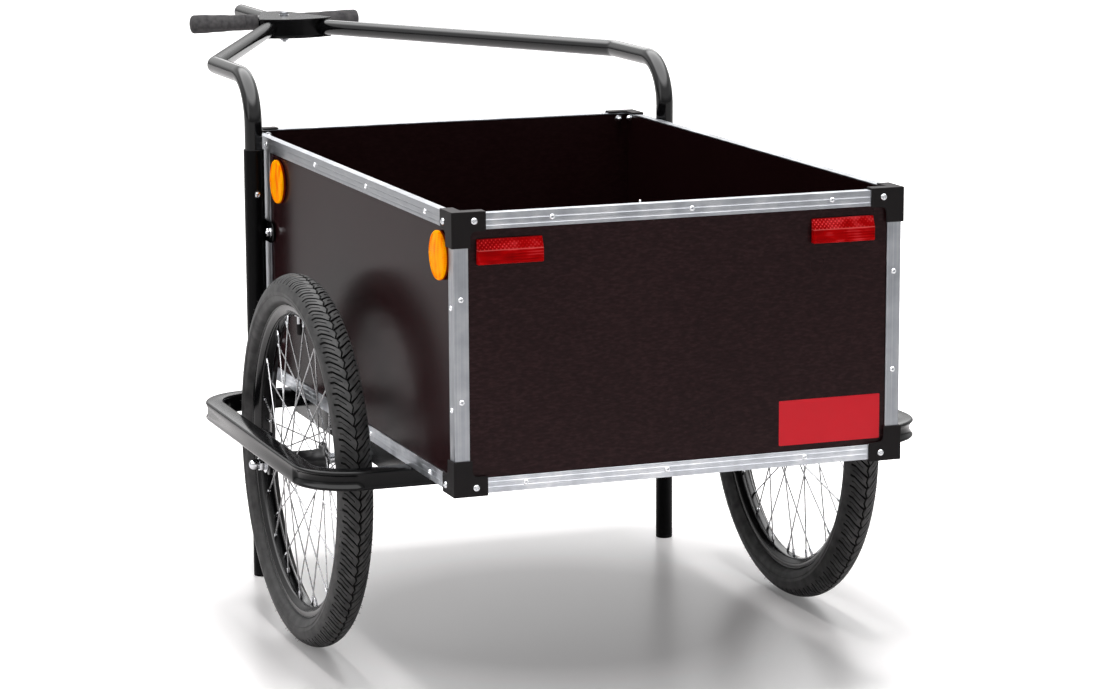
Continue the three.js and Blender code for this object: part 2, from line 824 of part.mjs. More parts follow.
function tyre() {
  const half = tyreWidth / 2;
  const crown = tyreDiameter / 2 - half;
  const arc = (radius, steps, from, to) => Array.from({ length: steps + 1 }, (_, i) => {
    const angle = THREE.MathUtils.degToRad(from + (to - from) * i / steps);
    return [crown + radius * Math.sin(angle), -radius * Math.cos(angle)];
  });
  const bead = rimWidth / 2 - rimFlange - seatGap;
  const beadRadius = rimDiameter / 2 - tyreBeadDepth;
  const shoulder = rimDiameter / 2 + seatGap;
  const inside = bead - tyreCarcass;
  const profile = [
    [beadRadius, -bead], [shoulder, -bead],
    ...arc(half, tyreArcSteps, -tyreLipAngle, 180 + tyreLipAngle),
    [shoulder, bead], [beadRadius, bead], [beadRadius, inside],
    [shoulder + tyreCarcass / 2, inside],
    ...arc(half - tyreCarcass, carcassArcSteps, 180 + tyreLipAngle, -tyreLipAngle),
    [shoulder + tyreCarcass / 2, -inside], [beadRadius, -inside], [beadRadius, -bead],
  ];
  return onWheel(revolve(profile, wheelSides));
}

// Turns a piece revolved about +Z onto the wheel's axis.
function onWheel(geometry) {
  return geometry.rotateY(Math.PI / 2).translate(wheelPlaneX, axleY, axleZ);
}

function rim() {
  const outer = rimDiameter / 2;
  const half = rimWidth / 2;
  const inside = half - rimFlange;
  const bed = rimBedWidth / 2;
  const side = outer - rimSide;
  const ring = revolve([
    [outer, half], [side, half], [rimInnerRadius, bed], [rimInnerRadius, -bed],
    [side, -half], [outer, -half], [outer, -inside], [outer - rimShelf, -inside],
    [rimInnerRadius + rimBedThickness, 0], [outer - rimShelf, inside], [outer, inside],
    [outer, half],
  ], wheelSides);
  const angle = THREE.MathUtils.degToRad(valveAngle);
  const along = vector(0, Math.cos(angle), Math.sin(angle));
  const centre = vector(wheelPlaneX, axleY, axleZ);
  const stem = rod(
    valveDiameter / 2,
    centre.clone().addScaledVector(along, rimInnerRadius - valveLength),
    centre.clone().addScaledVector(along, rimInnerRadius + rimBedThickness / 2),
    smallSides / 2,
  );
  return join(onWheel(ring), stem);
}

// One spoke, from the flange's hole circle to just inside the rim.
function spoke(hubAngle, tipAngle, hubX, rimX) {
  const hub = THREE.MathUtils.degToRad(hubAngle);
  const end = THREE.MathUtils.degToRad(tipAngle);
  const hubRadius = spokeCircleDiameter / 2;
  const rimFlat = rimInnerRadius * Math.cos(Math.PI / wheelSides);
  const rimRadius = rimFlat - spokeTipGap;
  const start = vector(hubX, hubRadius * Math.cos(hub), hubRadius * Math.sin(hub));
  const tip = vector(rimX, rimRadius * Math.cos(end), rimRadius * Math.sin(end));
  return rod(spokeDiameter / 2, start, tip, spokeSides);
}

// The hub shell with its two flanges and all spokes, laced so that each crosses its neighbours.
// The spokes are turned so that their tips face the middles of the rim's flats.
function spokedHub() {
  const bore = hubBore / 2;
  const shell = hubShellDiameter / 2;
  const flange = hubFlangeDiameter / 2;
  const end = hubEndDiameter / 2;
  const near = hubFlangeOffset + hubFlangeThickness / 2;
  const far = hubFlangeOffset - hubFlangeThickness / 2;
  const profile = [
    [bore, -hubEndOffset], [end, -hubEndOffset], [shell, -near], [flange, -near],
    [flange, -far], [shell, -far], [shell, far], [flange, far],
    [flange, near], [shell, near], [end, hubEndOffset], [bore, hubEndOffset],
    [bore, -hubEndOffset],
  ];
  const pieces = [revolve(profile, hubSides).rotateY(Math.PI / 2)];
  const perFlange = spokeCount / 2;
  const pitch = 360 / perFlange;
  for (const side of [-1, 1]) {
    for (let i = 0; i < perFlange; i += 1) {
      const leading = i % 2 === 0 ? 1 : -1;
      const hubAngle = pitch * (i + (side > 0 ? 0.5 : 0)) + 180 / wheelSides;
      const hubX = side * hubFlangeOffset + leading * hubFlangeThickness / 2;
      const tipAngle = hubAngle + leading * spokeCrossAngle;
      const rimX = side * spokeRimOffset + leading * spokeClearance / 2;
      pieces.push(spoke(hubAngle, tipAngle, hubX, rimX));
    }
  }
  return join(...pieces).translate(wheelPlaneX, axleY, axleZ);
}

// The fixed axle with its bearing cones and spacers, washers and nuts, and a domed cap nut
// outside.
function axle() {
  const shaft = axleDiameter / 2;
  const cone = coneDiameter / 2;
  const spacer = spacerDiameter / 2;
  const washer = axleWasherDiameter / 2;
  const innerFace = railOuterX - seatGap - weldDepth;
  const outerFace = dropoutOuterFaceX + dropoutThickness + weldDepth + seatGap;
  const coneInner = wheelPlaneX - hubEndOffset - seatGap;
  const coneOuter = wheelPlaneX + hubEndOffset + seatGap;
  const cap = axleCapDiameter / 2;
  const nutEnd = outerFace + axleWasherThickness + axleNutHeight;
  const tip = nutEnd + axleCapLength;
  const profile = [
    [0, innerFace - axleInnerReach], [shaft, innerFace - axleInnerReach],
    [shaft, innerFace - axleWasherThickness], [washer, innerFace - axleWasherThickness],
    [washer, innerFace], [shaft, innerFace],
    [shaft, spacerInnerX], [spacer, spacerInnerX], [spacer, coneInner - coneLength],
    [cone, coneInner - coneLength], [cone, coneInner], [shaft, coneInner],
    [shaft, coneOuter], [cone, coneOuter], [cone, coneOuter + coneLength],
    [spacer, coneOuter + coneLength], [spacer, spacerOuterX], [shaft, spacerOuterX],
    [shaft, outerFace], [washer, outerFace], [washer, outerFace + axleWasherThickness],
    [shaft, outerFace + axleWasherThickness],
    [shaft, nutEnd], [cap, nutEnd], [cap, (nutEnd + tip) / 2], [cap / 2, tip], [0, tip],
  ];
  const innerNut = hexPrism(axleNutWidth, axleNutHeight)
    .translate(0, 0, innerFace - axleWasherThickness - axleNutHeight);
  const outerNut = hexPrism(axleNutWidth, axleNutHeight)
    .translate(0, 0, outerFace + axleWasherThickness);
  const solid = join(revolve(profile, smallSides), innerNut, outerNut);
  return solid.rotateY(Math.PI / 2).translate(0, axleY, axleZ);
}

const group = new THREE.Group();

function add(name, geometry, [color, roughness, metalness]) {
  const material = new THREE.MeshStandardMaterial({ color, roughness, metalness });
  const mesh = new THREE.Mesh(geometry, material);
  mesh.name = name;
  group.add(mesh);
  return mesh;
}

// A right-hand piece and its mirror image on the left.
function addPair(name, geometry, colour) {
  add(`right_${name}`, geometry, colour);
  add(`left_${name}`, geometry, colour).scale.x = -1;
}

function addBox() {
  add('floor_panel', floorPanel(), colours.plywood);
  add('left_panel', sidePanel(-1), colours.plywood);
  add('right_panel', sidePanel(1), colours.plywood);
  add('rear_panel', endPanel(-1), colours.plywood);
  add('front_panel', endPanel(1), colours.plywood);
  for (const side of sides) {
    add(`${side.name}_rim_angle`, rimAngle(side), colours.aluminium);
    add(`${side.name}_base_angle`, baseAngle(side), colours.aluminium);
  }
  const cap = cornerCap();
  for (const [xName, xSign] of [['left', -1], ['right', 1]]) {
    for (const [yName, ySign] of [['rear', -1], ['front', 1]]) {
      add(`${yName}_${xName}_post`, cornerPost(xSign, ySign), colours.aluminium);
      for (const [zName, z, zSign] of [['upper', boxTop, 1], ['lower', boxBottom, -1]]) {
        const mesh = add(`${yName}_${xName}_${zName}_cap`, cap, colours.cap);
        mesh.position.set(xSign * boxWidth / 2, ySign * boxLength / 2, z);
        mesh.scale.set(-xSign, -ySign, -zSign);
      }
    }
  }
}

function addReflectors() {
  const rearY = sideReflectorRearInset - boxLength / 2;
  const frontY = boxLength / 2 - sideReflectorFrontInset;
  addPair('rear_amber_reflector', sideReflector(rearY), colours.amber);
  addPair('front_amber_reflector', sideReflector(frontY), colours.amber);
  add('left_red_reflector', rearReflector(rearReflectorLeftInset - boxWidth / 2), colours.red);
  add('right_red_reflector', rearReflector(boxWidth / 2 - rearReflectorRightInset), colours.red);
}

function addChassis() {
  addPair('frame_tube', frameHalf(), colours.tube);
  addPair('side_rail', sideRail(), colours.tube);
  addPair('backing_strip', backingStrip(), colours.aluminium);
  addPair('sleeve', sleeve(), colours.tube);
  addPair('axle', axle(), colours.steel);
}

function addWheels() {
  addPair('tyre', tyre(), colours.rubber);
  addPair('rim', rim(), colours.rim);
  addPair('spoked_hub', spokedHub(), colours.steel);
}

function addDrawbar() {
  addPair('stand_leg', standLeg(), colours.tube);
  addPair('drawbar_arm', drawbarArm(), colours.tube);
  add('upper_gusset', upperGusset(), colours.tube);
  add('lower_gusset', lowerGusset(), colours.tube);
  add('drawbar_bolt', drawbarBolt(), colours.steel);
  add('handlebar', handlebar(), colours.tube);
  addPair('grip', grip(), colours.foam);
  add('hitch_tube', hitchTube(), colours.tube);
}

addBox();
addReflectors();
addChassis();
addWheels();
addDrawbar();

// The origin is on the ground, under the middle of the overall length, which ends at the rear
// with the caps or the reflectors.
const rearReach = Math.max(capReach, rearReflectorThickness + seatGap - panelInset);
group.position.y = (boxLength / 2 + rearReach - hitchTubeEndY) / 2;

export default group;
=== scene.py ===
"""The looks of the cargo bike trailer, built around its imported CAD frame.

Lengths are metres. Places are written in the box's own frame, with x and y measured from the
middle of the box and z from the ground, and at() turns them into the row frame.
"""

import math
import random

import bmesh
import bpy
from mathutils import Matrix, Vector


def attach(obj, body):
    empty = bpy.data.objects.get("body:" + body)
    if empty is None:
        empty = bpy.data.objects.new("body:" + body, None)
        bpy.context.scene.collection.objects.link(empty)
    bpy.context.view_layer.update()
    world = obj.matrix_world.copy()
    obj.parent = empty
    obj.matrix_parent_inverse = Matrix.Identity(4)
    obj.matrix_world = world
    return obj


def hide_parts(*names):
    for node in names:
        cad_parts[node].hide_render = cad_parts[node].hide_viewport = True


FRAME_SHIFT = 0.5545
X, Y, Z = Vector((1, 0, 0)), Vector((0, 1, 0)), Vector((0, 0, 1))
SIDES = (("left", -1), ("right", 1))

# Mesh making: the radius of a turned point, and how near two points are one
POINT_R = 1e-5
MERGE, CAD_MERGE = 2e-5, 1e-5

# Box
BOX_X, BOX_Y = 0.298, 0.456
BOX_TOP = 0.639
BAR_EDGE = 0.0003
PANEL_SINK = 0.0023
PANEL_INSIDE = 0.0123
PANEL_MID_X, PANEL_MID_Y = 0.290, 0.449
CAP_REACH = 0.0028
CAP_SCREW_X, CAP_SCREW_Y = 0.272, 0.4287
CAP_SIDE_UP = {"left": 0.6275, "right": 0.6325}
CAP_END_UP, CAP_LOW = 0.6302, 0.3022
STICKER_AT, STICKER_SIZE = (0.2024, 0.3494), (0.1394, 0.0576)
STICKER_CORNER, STICKER_THICK = 0.0015, 0.0003

# Rivets: their places along each bar, and the height or place of the row
SIDE_RIM_RIVETS, SIDE_RIM_Z = (0.3616, 0.121, -0.109, -0.350), 0.6288
SIDE_BASE_RIVETS, SIDE_BASE_Z = (0.300, 0.020, -0.115, -0.3574), 0.3034
END_RIM_RIVETS, END_RIM_Z = (-0.171, 0.0126, 0.2023), 0.6298
END_BASE_RIVETS, END_BASE_Z = (-0.2067, -0.0195, 0.1677), 0.304
POST_RIVETS, POST_STEP = (0.5345, 0.4085), 0.011
POST_RIVET_X, POST_RIVET_Y = 0.2887, 0.4455
RIM_TIP = (-0.0513, -0.4437)

# Reflectors
RED_LEFT, RED_RIDGE, RED_SPACING = -0.2262, 0.5940, 0.4433
RED_DIAMOND, RED_ROW = 0.0052, 0.0034
AMBER_MID, AMBER_APART, AMBER_Z = -0.052, 0.354, 0.583
AMBER_PRISM = 0.0026

# Tubes
TUBE_R, TUBE_WALL, LEG_LENGTH = 0.0125, 0.0015, 0.370
SLEEVE_X, SLEEVE_Y = 0.315, 0.367
SLEEVE_R, SLEEVE_BORE = 0.0145, 0.0128
SLEEVE_TOP, SLEEVE_LOW = 0.622, 0.304
LUG_HEIGHTS, LUG_X, LUG_THICK = (0.506, 0.346), 0.2983, 0.0024
LUG_HALF, LUG_END = 0.027, 0.0155
BOSS_HEIGHTS = (0.559, 0.333)
ARM_LOW, ARM_TOP, ARM_END_Z = 0.514, 0.723, 0.7106
ARM_ELBOW_Y, ARM_END = 0.568, (0.046, 1.227)
ARM_BENDS = (0.066, 0.034)
HANDLE_Y, HANDLE_HALF, HANDLE_R = 1.355, 0.140, 0.011
GRIP_START, GRIP_END, GRIP_BORE = 0.053, 0.148, 0.0113
GRIP_R, GRIP_SWELL, GRIP_ROUND, GRIP_LIP = 0.0133, 0.0026, 0.007, 0.0015
COLLAR_START = 0.0320
BOLT_Y, BOLT_ACROSS = 1.297, 0.0122
HITCH_END, HITCH_LENGTH = 1.572, 0.2065

# Frame tube: FRAME_MIDDLE is half the gap between its two halves
FRAME_HALF, FRAME_EDGE = 0.0125, 0.003
FRAME_X, FRAME_Y, FRAME_Z = 0.421, 0.2695, 0.2812
FRAME_BEND, BEND_SINK, BEND_EASE = 0.062, 0.0046, 0.09
FRAME_MIDDLE = 0.00015
DROPOUT_X, DROPOUT_THICK = 0.4035, 0.0055

# Wheel
WHEEL = (0.356, -0.003, 0.25)
TYRE_CROWN, TYRE_R = 0.2265, 0.0235
PITCHES, HAIRS = 100, 110
RIM_OUT, RIM_IN, RIM_HALF = 0.2095, 0.195, 0.0135
SPOKES, SPOKE_R, LACING = 36, 0.0010, 60
HUB_CIRCLE, RIM_CIRCLE = 0.0195, 0.1940
AXLE_NUT = (0.017, 0.008, 0.002)
VALVE_ANGLE = 86

# Camera and light
IMAGE_WIDTH, FOCAL_PIXELS = 1119, 3400.0
CAMERA_AT = (-1.59615, -4.27153, 1.23108)
CAMERA_TURN = (-20.59761, -10.55310, -0.26082)
SOFT_LIGHT, FLOOR_MIRRORED = 0.28, 0.4
# FLOOR_SHADE: the y values over which the floor's painted shade fades into its light colour.
FLOOR_SHADE, FLOOR_POOL = (-3.2, -1.7), (0.25, 1.05)
# Upward directions from and to, and the glow at each
WALL_GLOW, CEILING_GLOW = (0.03, 0.24, 0.28, 1.05), (0.50, 0.72, 0.0, 5.0)


def at(x, y, z):
    return Vector((x, y - FRAME_SHIFT, z))


# Mesh making


class Shell:
    """The points and faces of one piece while it is made."""

    def __init__(self):
        self.points = []
        self.faces = []
        self.depths = []

    def loft(self, rings, closed=False):
        """Joins rings of equal length; the two ends are capped, or closed joins last to first."""
        first = len(self.points)
        count = len(rings[0])
        for ring in rings:
            self.points.extend(ring)
        spans = len(rings) if closed else len(rings) - 1
        for i in range(spans):
            low = first + i * count
            high = first + (i + 1) % len(rings) * count
            for j in range(count):
                k = (j + 1) % count
                self.faces.append((low + j, low + k, high + k, high + j))
        if not closed:
            last = first + (len(rings) - 1) * count
            self.faces.append(tuple(range(first + count - 1, first - 1, -1)))
            self.faces.append(tuple(range(last, last + count)))
        return self

    def turned(self, profile, origin, axis, segments=32, closed=False):
        """A profile of (radius, height) turned round an axis through origin."""
        u = axis.orthogonal().normalized()
        v = axis.cross(u)
        rings = []
        for radius, height in profile:
            middle = origin + axis * height
            reach = max(radius, POINT_R)
            rings.append([
                middle + (u * math.cos(a) + v * math.sin(a)) * reach
                for a in (2 * math.pi * i / segments for i in range(segments))
            ])
        return self.loft(rings, closed=closed)

    def prism(self, outline, depth, origin, u, v):
        """A flat outline in the u, v plane, made depth thick along u x v."""
        w = u.cross(v)
        flat = [origin + u * a + v * b for a, b in outline]
        return self.loft([flat, [p + w * depth for p in flat]])

    def mirrored(self):
        other = Shell()
        other.points = [Vector((-p.x, p.y, p.z)) for p in self.points]
        other.faces = [tuple(reversed(face)) for face in self.faces]
        other.depths = self.depths
        return other


def soften(bm, width, segments=2, angle=30):
    """Rounds the sharp edges of a mesh."""
    edges = [
        e for e in bm.edges if e.is_manifold and e.calc_face_angle() > math.radians(angle)
    ]
    bmesh.ops.bevel(
        bm, geom=edges, offset=width, segments=segments, profile=0.5,
        affect="EDGES", clamp_overlap=True,
    )


def finish_mesh(bm, name, sharp):
    bmesh.ops.recalc_face_normals(bm, faces=bm.faces)
    mesh = bpy.data.meshes.new(name)
    bm.to_mesh(mesh)
    bm.free()
    mesh.polygons.foreach_set("use_smooth", [True] * len(mesh.polygons))
    mesh.set_sharp_from_angle(angle=math.radians(sharp))
    return mesh


def weigh_normals(mesh):
    """Keeps large flat faces flat beside their small rounded edges."""
    normals = [Vector() for _ in mesh.vertices]
    for face in mesh.polygons:
        for i in face.vertices:
            normals[i] += face.normal * face.area
    mesh.normals_split_custom_set_from_vertices([n.normalized() for n in normals])


def place(name, mesh, finish, body, stands_for=()):
    piece = bpy.data.objects.new(name, mesh)
    bpy.context.scene.collection.objects.link(piece)
    mesh.materials.append(finish)
    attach(piece, body)
    if stands_for:
        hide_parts(*stands_for)
    return piece


def make(name, shell, finish, body, slot, stands_for=(), round_edges=0.0, sharp=35):
    bm = bmesh.new()
    # The depths go to a point attribute, which the tyre rubber paints dark in the grooves as
    # shade.
    layer = bm.verts.layers.float.new("groove_shade") if shell.depths else None
    verts = [bm.verts.new(p) for p in shell.points]
    for vert, depth in zip(verts, shell.depths):
        vert[layer] = depth
    for face in shell.faces:
        bm.faces.new([verts[i] for i in face])
    bmesh.ops.remove_doubles(bm, verts=bm.verts, dist=MERGE)
    if round_edges:
        bmesh.ops.recalc_face_normals(bm, faces=bm.faces)
        soften(bm, round_edges)
    return place(name, finish_mesh(bm, name, sharp), finish, body, stands_for)


def make_pair(name, shell, finish, body, slot, node=None, **options):
    """The right-hand piece and its mirror image on the left."""
    made = []
    for side, sign in SIDES:
        form = shell if sign > 0 else shell.mirrored()
        stands_for = (f"{side}_{node}",) if node else ()
        made.append(make(
            f"{side}_{name}", form, finish, body.format(side=side), slot, stands_for, **options
        ))
    return made


def rounded_copy(node, finish, body, width=0.0004, segments=2):
    """A CAD node with its sharp edges rounded."""
    bm = bmesh.new()
    bm.from_mesh(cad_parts[node].data)
    bmesh.ops.remove_doubles(bm, verts=bm.verts, dist=CAD_MERGE)
    bmesh.ops.dissolve_limit(
        bm, angle_limit=math.radians(1), verts=bm.verts, edges=bm.edges
    )
    soften(bm, width, segments)
    mesh = finish_mesh(bm, node + "_rounded", 35)
    weigh_normals(mesh)
    return place(node + "_rounded", mesh, finish, body, (node,))


def circle(radius, count):
    return [
        (radius * math.cos(2 * math.pi * i / count), radius * math.sin(2 * math.pi * i / count))
        for i in range(count)
    ]


def arc(middle, radius, angles):
    """Points of a flat circle at some angles in degrees."""
    return [
        (middle[0] + radius * math.cos(math.radians(a)),
         middle[1] + radius * math.sin(math.radians(a)))
        for a in angles
    ]


def rounded_box(half_x, half_y, radius):
    """The four rounded corners of a rectangle, with five points each."""
    points = []
    for sx, sy, start in ((1, 1, 0), (-1, 1, 90), (-1, -1, 180), (1, -1, 270)):
        middle = (sx * (half_x - radius), sy * (half_y - radius))
        points += arc(middle, radius, [start + 22.5 * i for i in range(5)])
    return points


def bent_path(corners, radii, step=4.0):
    """Stations of a bent tube: (point, direction, share of the bend or None)."""
    stations = [(corners[0], (corners[1] - corners[0]).normalized(), None)]
    for before, corner, after, radius in zip(corners, corners[1:], corners[2:], radii):
        into = (corner - before).normalized()
        out = (after - corner).normalized()
        turn = into.angle(out)
        axis = into.cross(out).normalized()
        start = corner - into * (radius * math.tan(turn / 2))
        inward = axis.cross(into)
        centre = start + inward * radius
        count = max(2, math.ceil(math.degrees(turn) / step))
        for i in range(count + 1):
            spin = Matrix.Rotation(turn * i / count, 3, axis)
            stations.append((centre + spin @ (-inward * radius), spin @ into, i / count))
    stations.append((corners[-1], (corners[-1] - corners[-2]).normalized(), None))
    return stations


def swept_rings(stations, section):
    """Rings of a section carried along a path without twisting."""
    rings = []
    side = stations[0][1].orthogonal().normalized()
    for point, along, _ in stations:
        side = (side - along * side.dot(along)).normalized()
        other = along.cross(side)
        rings.append([point + side * a + other * b for a, b in section])
    return rings


def hollow_tube(stations, radius, wall, count=40, edge=0.0005):
    """A round tube with open ends and slightly rounded lips."""
    first, last = stations[0], stations[-1]
    lips = [
        (first[0], first[1], None),
        (first[0] + first[1] * edge, first[1], None),
        *stations[1:-1],
        (last[0] - last[1] * edge, last[1], None),
        (last[0], last[1], None),
    ]
    outer = swept_rings(lips, circle(radius, count))
    slim = swept_rings(lips, circle(radius - edge, count))
    inner = swept_rings(lips, circle(radius - wall, count))
    outer[0], outer[-1] = slim[0], slim[-1]
    return Shell().loft(outer + inner[::-1], closed=True)


# Materials


class Finish:
    """A node material; place textures use the object's own metres."""

    def __init__(self, name, colour, roughness, metallic=0.0, **sockets):
        self.material = bpy.data.materials.new(name)
        self.material.use_nodes = True
        self.tree = self.material.node_tree
        self.shader = self.tree.nodes["Principled BSDF"]
        self.shader.inputs["Base Color"].default_value = (*colour, 1)
        self.shader.inputs["Roughness"].default_value = roughness
        self.shader.inputs["Metallic"].default_value = metallic
        for socket, value in sockets.items():
            self.shader.inputs[socket.replace("_", " ")].default_value = value
        self.place = self.node("ShaderNodeTexCoord").outputs["Object"]

    def node(self, kind, links=(), **values):
        made = self.tree.nodes.new(kind)
        for key, value in values.items():
            if key in made.inputs:
                made.inputs[key].default_value = value
            else:
                setattr(made, key, value)
        for socket, source in dict(links).items():
            self.tree.links.new(source, made.inputs[socket])
        return made

    def noise(self, scale, detail=3.0, stretch=(1, 1, 1)):
        place_at = self.node("ShaderNodeMapping", {"Vector": self.place}, Scale=stretch)
        node = self.node(
            "ShaderNodeTexNoise", {"Vector": place_at.outputs["Vector"]},
            Scale=scale, Detail=detail,
        )
        return node.outputs["Fac"]

    def ramp(self, source, stops):
        node = self.node("ShaderNodeValToRGB", {"Fac": source})
        band = node.color_ramp
        while len(band.elements) < len(stops):
            band.elements.new(0.5)
        for element, (place_at, colour) in zip(band.elements, stops):
            element.position = place_at
            element.color = (*colour, 1)
        return node.outputs["Color"]

    def range(self, source, low, high, start=0.0, end=1.0):
        node = self.node(
            "ShaderNodeMapRange", {"Value": source},
            **{"From Min": start, "From Max": end, "To Min": low, "To Max": high},
        )
        return node.outputs["Result"]

    def fill(self, sockets, values):
        """Sets each socket to its number, or links it to its source."""
        for socket, value in zip(sockets, values):
            if isinstance(value, (int, float)):
                socket.default_value = value
            else:
                self.tree.links.new(value, socket)

    def math(self, operation, first, second=0.0):
        node = self.node("ShaderNodeMath", operation=operation)
        self.fill(node.inputs, (first, second))
        return node.outputs[0]

    def plus(self, first, second):
        return self.math("ADD", first, second)

    def times(self, first, second):
        return self.math("MULTIPLY", first, second)

    def size(self, source):
        return self.math("ABSOLUTE", source)

    def blend(self, first, share, second):
        """A weighted sum of two sources."""
        return self.plus(self.times(first, share), self.times(second, 1 - share))

    def axes(self):
        """The object's own x, y and z, one number each."""
        return self.node("ShaderNodeSeparateXYZ", {"Vector": self.place}).outputs

    def mixed(self, share, first, second):
        """From the first number to the second as the share goes from 0 to 1."""
        node = self.node("ShaderNodeMix", {"Factor": share}, data_type="FLOAT")
        self.fill((node.inputs[2], node.inputs[3]), (first, second))
        return node.outputs[0]

    def tinted(self, share, base, colour):
        """From a source's colour to a plain one as the share goes from 0 to 1."""
        node = self.node("ShaderNodeMix", {"Factor": share}, data_type="RGBA")
        self.tree.links.new(base, node.inputs[6])
        node.inputs[7].default_value = (*colour, 1)
        return node.outputs[2]

    def wave(self, source, pitch):
        """From 0 to 1 and back once every pitch."""
        return self.math("DIVIDE", self.math("PINGPONG", source, pitch / 2), pitch / 2)

    def colour(self, source, lit=False):
        self.tree.links.new(source, self.shader.inputs["Base Color"])
        # lit also sends the colour to the emission: a painted glow, though the part is no lamp.
        if lit:
            self.tree.links.new(source, self.shader.inputs["Emission Color"])

    def rough(self, source):
        self.tree.links.new(source, self.shader.inputs["Roughness"])

    def bump(self, source, strength, distance):
        links = {"Height": source}
        old = self.shader.inputs["Normal"]
        if old.is_linked:
            links["Normal"] = old.links[0].from_socket
        node = self.node("ShaderNodeBump", links, Strength=strength, Distance=distance)
        self.tree.links.new(node.outputs["Normal"], old)


def grain(along, scale, across=420.0):
    """The stretch of a noise that runs along one axis."""
    return tuple(scale if axis == along else across for axis in range(3))


def plywood(name, along, shine, rough):
    """Dark red-brown film over plywood, pressed with a fine mesh, painted darker inside the box as
    its shade.
    """
    f = Finish(name, (0.019, 0.0085, 0.0092), 0.34, Specular_IOR_Level=shine)
    mesh = f.noise(1.0, 2.0, grain(along, 140.0))
    cloud = f.noise(4.0, 3.0)
    tone = f.ramp(f.blend(mesh, 0.78, cloud), [
        (0.32, (0.0125, 0.0034, 0.0041)),
        (0.5, (0.0200, 0.0066, 0.0076)),
        (0.68, (0.032, 0.0128, 0.0140)),
    ])
    x, y, _ = f.axes()
    fade = 0.001
    within_x = f.range(f.size(x), 1.0, 0.0, PANEL_MID_X - fade, PANEL_MID_X + fade)
    from_middle = f.size(f.plus(y, FRAME_SHIFT))
    within_y = f.range(from_middle, 1.0, 0.0, PANEL_MID_Y - fade, PANEL_MID_Y + fade)
    # The inside faces are painted darker: painted shade, the shade that falls inside the box.
    inside_shade = f.times(f.times(within_x, within_y), 0.62)
    f.colour(f.tinted(inside_shade, tone, (0.0042, 0.0006, 0.0007)))
    f.rough(f.range(cloud, rough - 0.02, rough + 0.10, 0.0, 1.0))
    f.bump(mesh, 0.18, 0.0003)
    return f.material


def aluminium(name, along, level, streaks):
    """Drawn aluminium with fine lines along the bar and cloudy handling marks; the level, set for
    each copy, paints in how light falls on that bar.
    """
    f = Finish(name, (level, level, level), 0.36, 1.0)
    lines = f.noise(1.0, 2.0, grain(along, 2.0))
    cloud = f.noise(46.0, 5.0)
    f.colour(f.ramp(f.blend(lines, streaks, cloud), [
        (stop, tuple(level * share for share in tint)) for stop, tint in (
            (0.30, (0.76, 0.79, 0.85)), (0.5, (0.96, 1.0, 1.07)), (0.70, (1.22, 1.24, 1.28)),
        )
    ]))
    f.rough(f.range(cloud, 0.28, 0.46, 0.3, 0.7))
    f.bump(lines, 0.02, 0.0003)
    return f.material


def coated(name, colour, roughness, peel, scale, shine):
    """Powder coat or moulded plastic with a fine skin."""
    f = Finish(name, colour, roughness, Specular_IOR_Level=shine)
    f.rough(f.range(f.noise(12.0, 2.0), roughness * 0.92, roughness * 1.1, 0.3, 0.7))
    f.bump(f.noise(scale, 2.0), peel, 0.0002)
    return f.material


def metal(name, colour, roughness, scale=260.0):
    f = Finish(name, colour, roughness, 1.0)
    f.rough(f.range(f.noise(scale, 2.0), roughness * 0.7, roughness * 1.4, 0.3, 0.7))
    return f.material


def foam_finish():
    f = Finish("grip_foam", (0.06, 0.058, 0.06), 0.95, Specular_IOR_Level=0.25)
    cells = f.node("ShaderNodeTexVoronoi", {"Vector": f.place}, Scale=1100.0).outputs["Distance"]
    cloud = f.noise(120.0, 3.0)
    f.colour(f.ramp(cloud, [(0.3, (0.042, 0.041, 0.043)), (0.7, (0.082, 0.079, 0.08))]))
    f.bump(cells, 0.55, 0.0006)
    f.bump(cloud, 0.25, 0.0008)
    return f.material


def rubber_finish():
    """Tyre rubber: dusty grey blocks, painted black in the grooves as shade."""
    f = Finish("tyre_rubber_black", (0.03, 0.03, 0.031), 0.55, Specular_IOR_Level=0.14)
    tone = f.ramp(f.noise(60.0, 4.0), [
        (0.3, (0.033, 0.033, 0.0335)), (0.7, (0.076, 0.0755, 0.0755)),
    ])
    groove_shade = f.node("ShaderNodeAttribute", attribute_name="groove_shade").outputs["Fac"]
    # The deep tread is painted near black, as the shade in the grooves.
    f.colour(f.tinted(groove_shade, tone, (0.003, 0.003, 0.003)))
    f.rough(f.range(groove_shade, 0.5, 0.9))
    f.bump(f.noise(900.0, 2.0), 0.2, 0.0003)
    return f.material


def amber_finish():
    """Amber lens plastic over rows of small prisms, with lighter and darker sectors, dark at its
    foot next to the panel, and a faint painted glow though it is no lamp.
    """
    light, deep, dark = (1.0, 0.28, 0.0), (0.84, 0.14, 0.0), (0.17, 0.010, 0.0)
    # Emission_Strength gives the lens a painted glow.
    f = Finish("amber_prism_lens", light, 0.3, Specular_IOR_Level=0.005, Emission_Strength=0.26)
    prisms = f.node(
        "ShaderNodeTexVoronoi", {"Vector": f.place}, Scale=1 / AMBER_PRISM, Randomness=0.0,
    ).outputs["Distance"]
    sectors = f.noise(1.0, 1.0, (90.0, 90.0, 30.0))
    tone = f.ramp(f.plus(f.times(prisms, 0.3), f.times(sectors, 0.8)), [
        (0.36, deep), (0.50, light), (0.62, (1.0, 0.41, 0.001)),
    ])
    # Darker at the foot of the lens, next to the panel.
    base = f.range(f.size(f.axes()[0]), 1.0, 0.0, BOX_X + 0.0008, BOX_X + 0.0022)
    f.colour(f.tinted(base, tone, dark), lit=True)
    f.bump(prisms, 0.4, 0.0008)
    return f.material


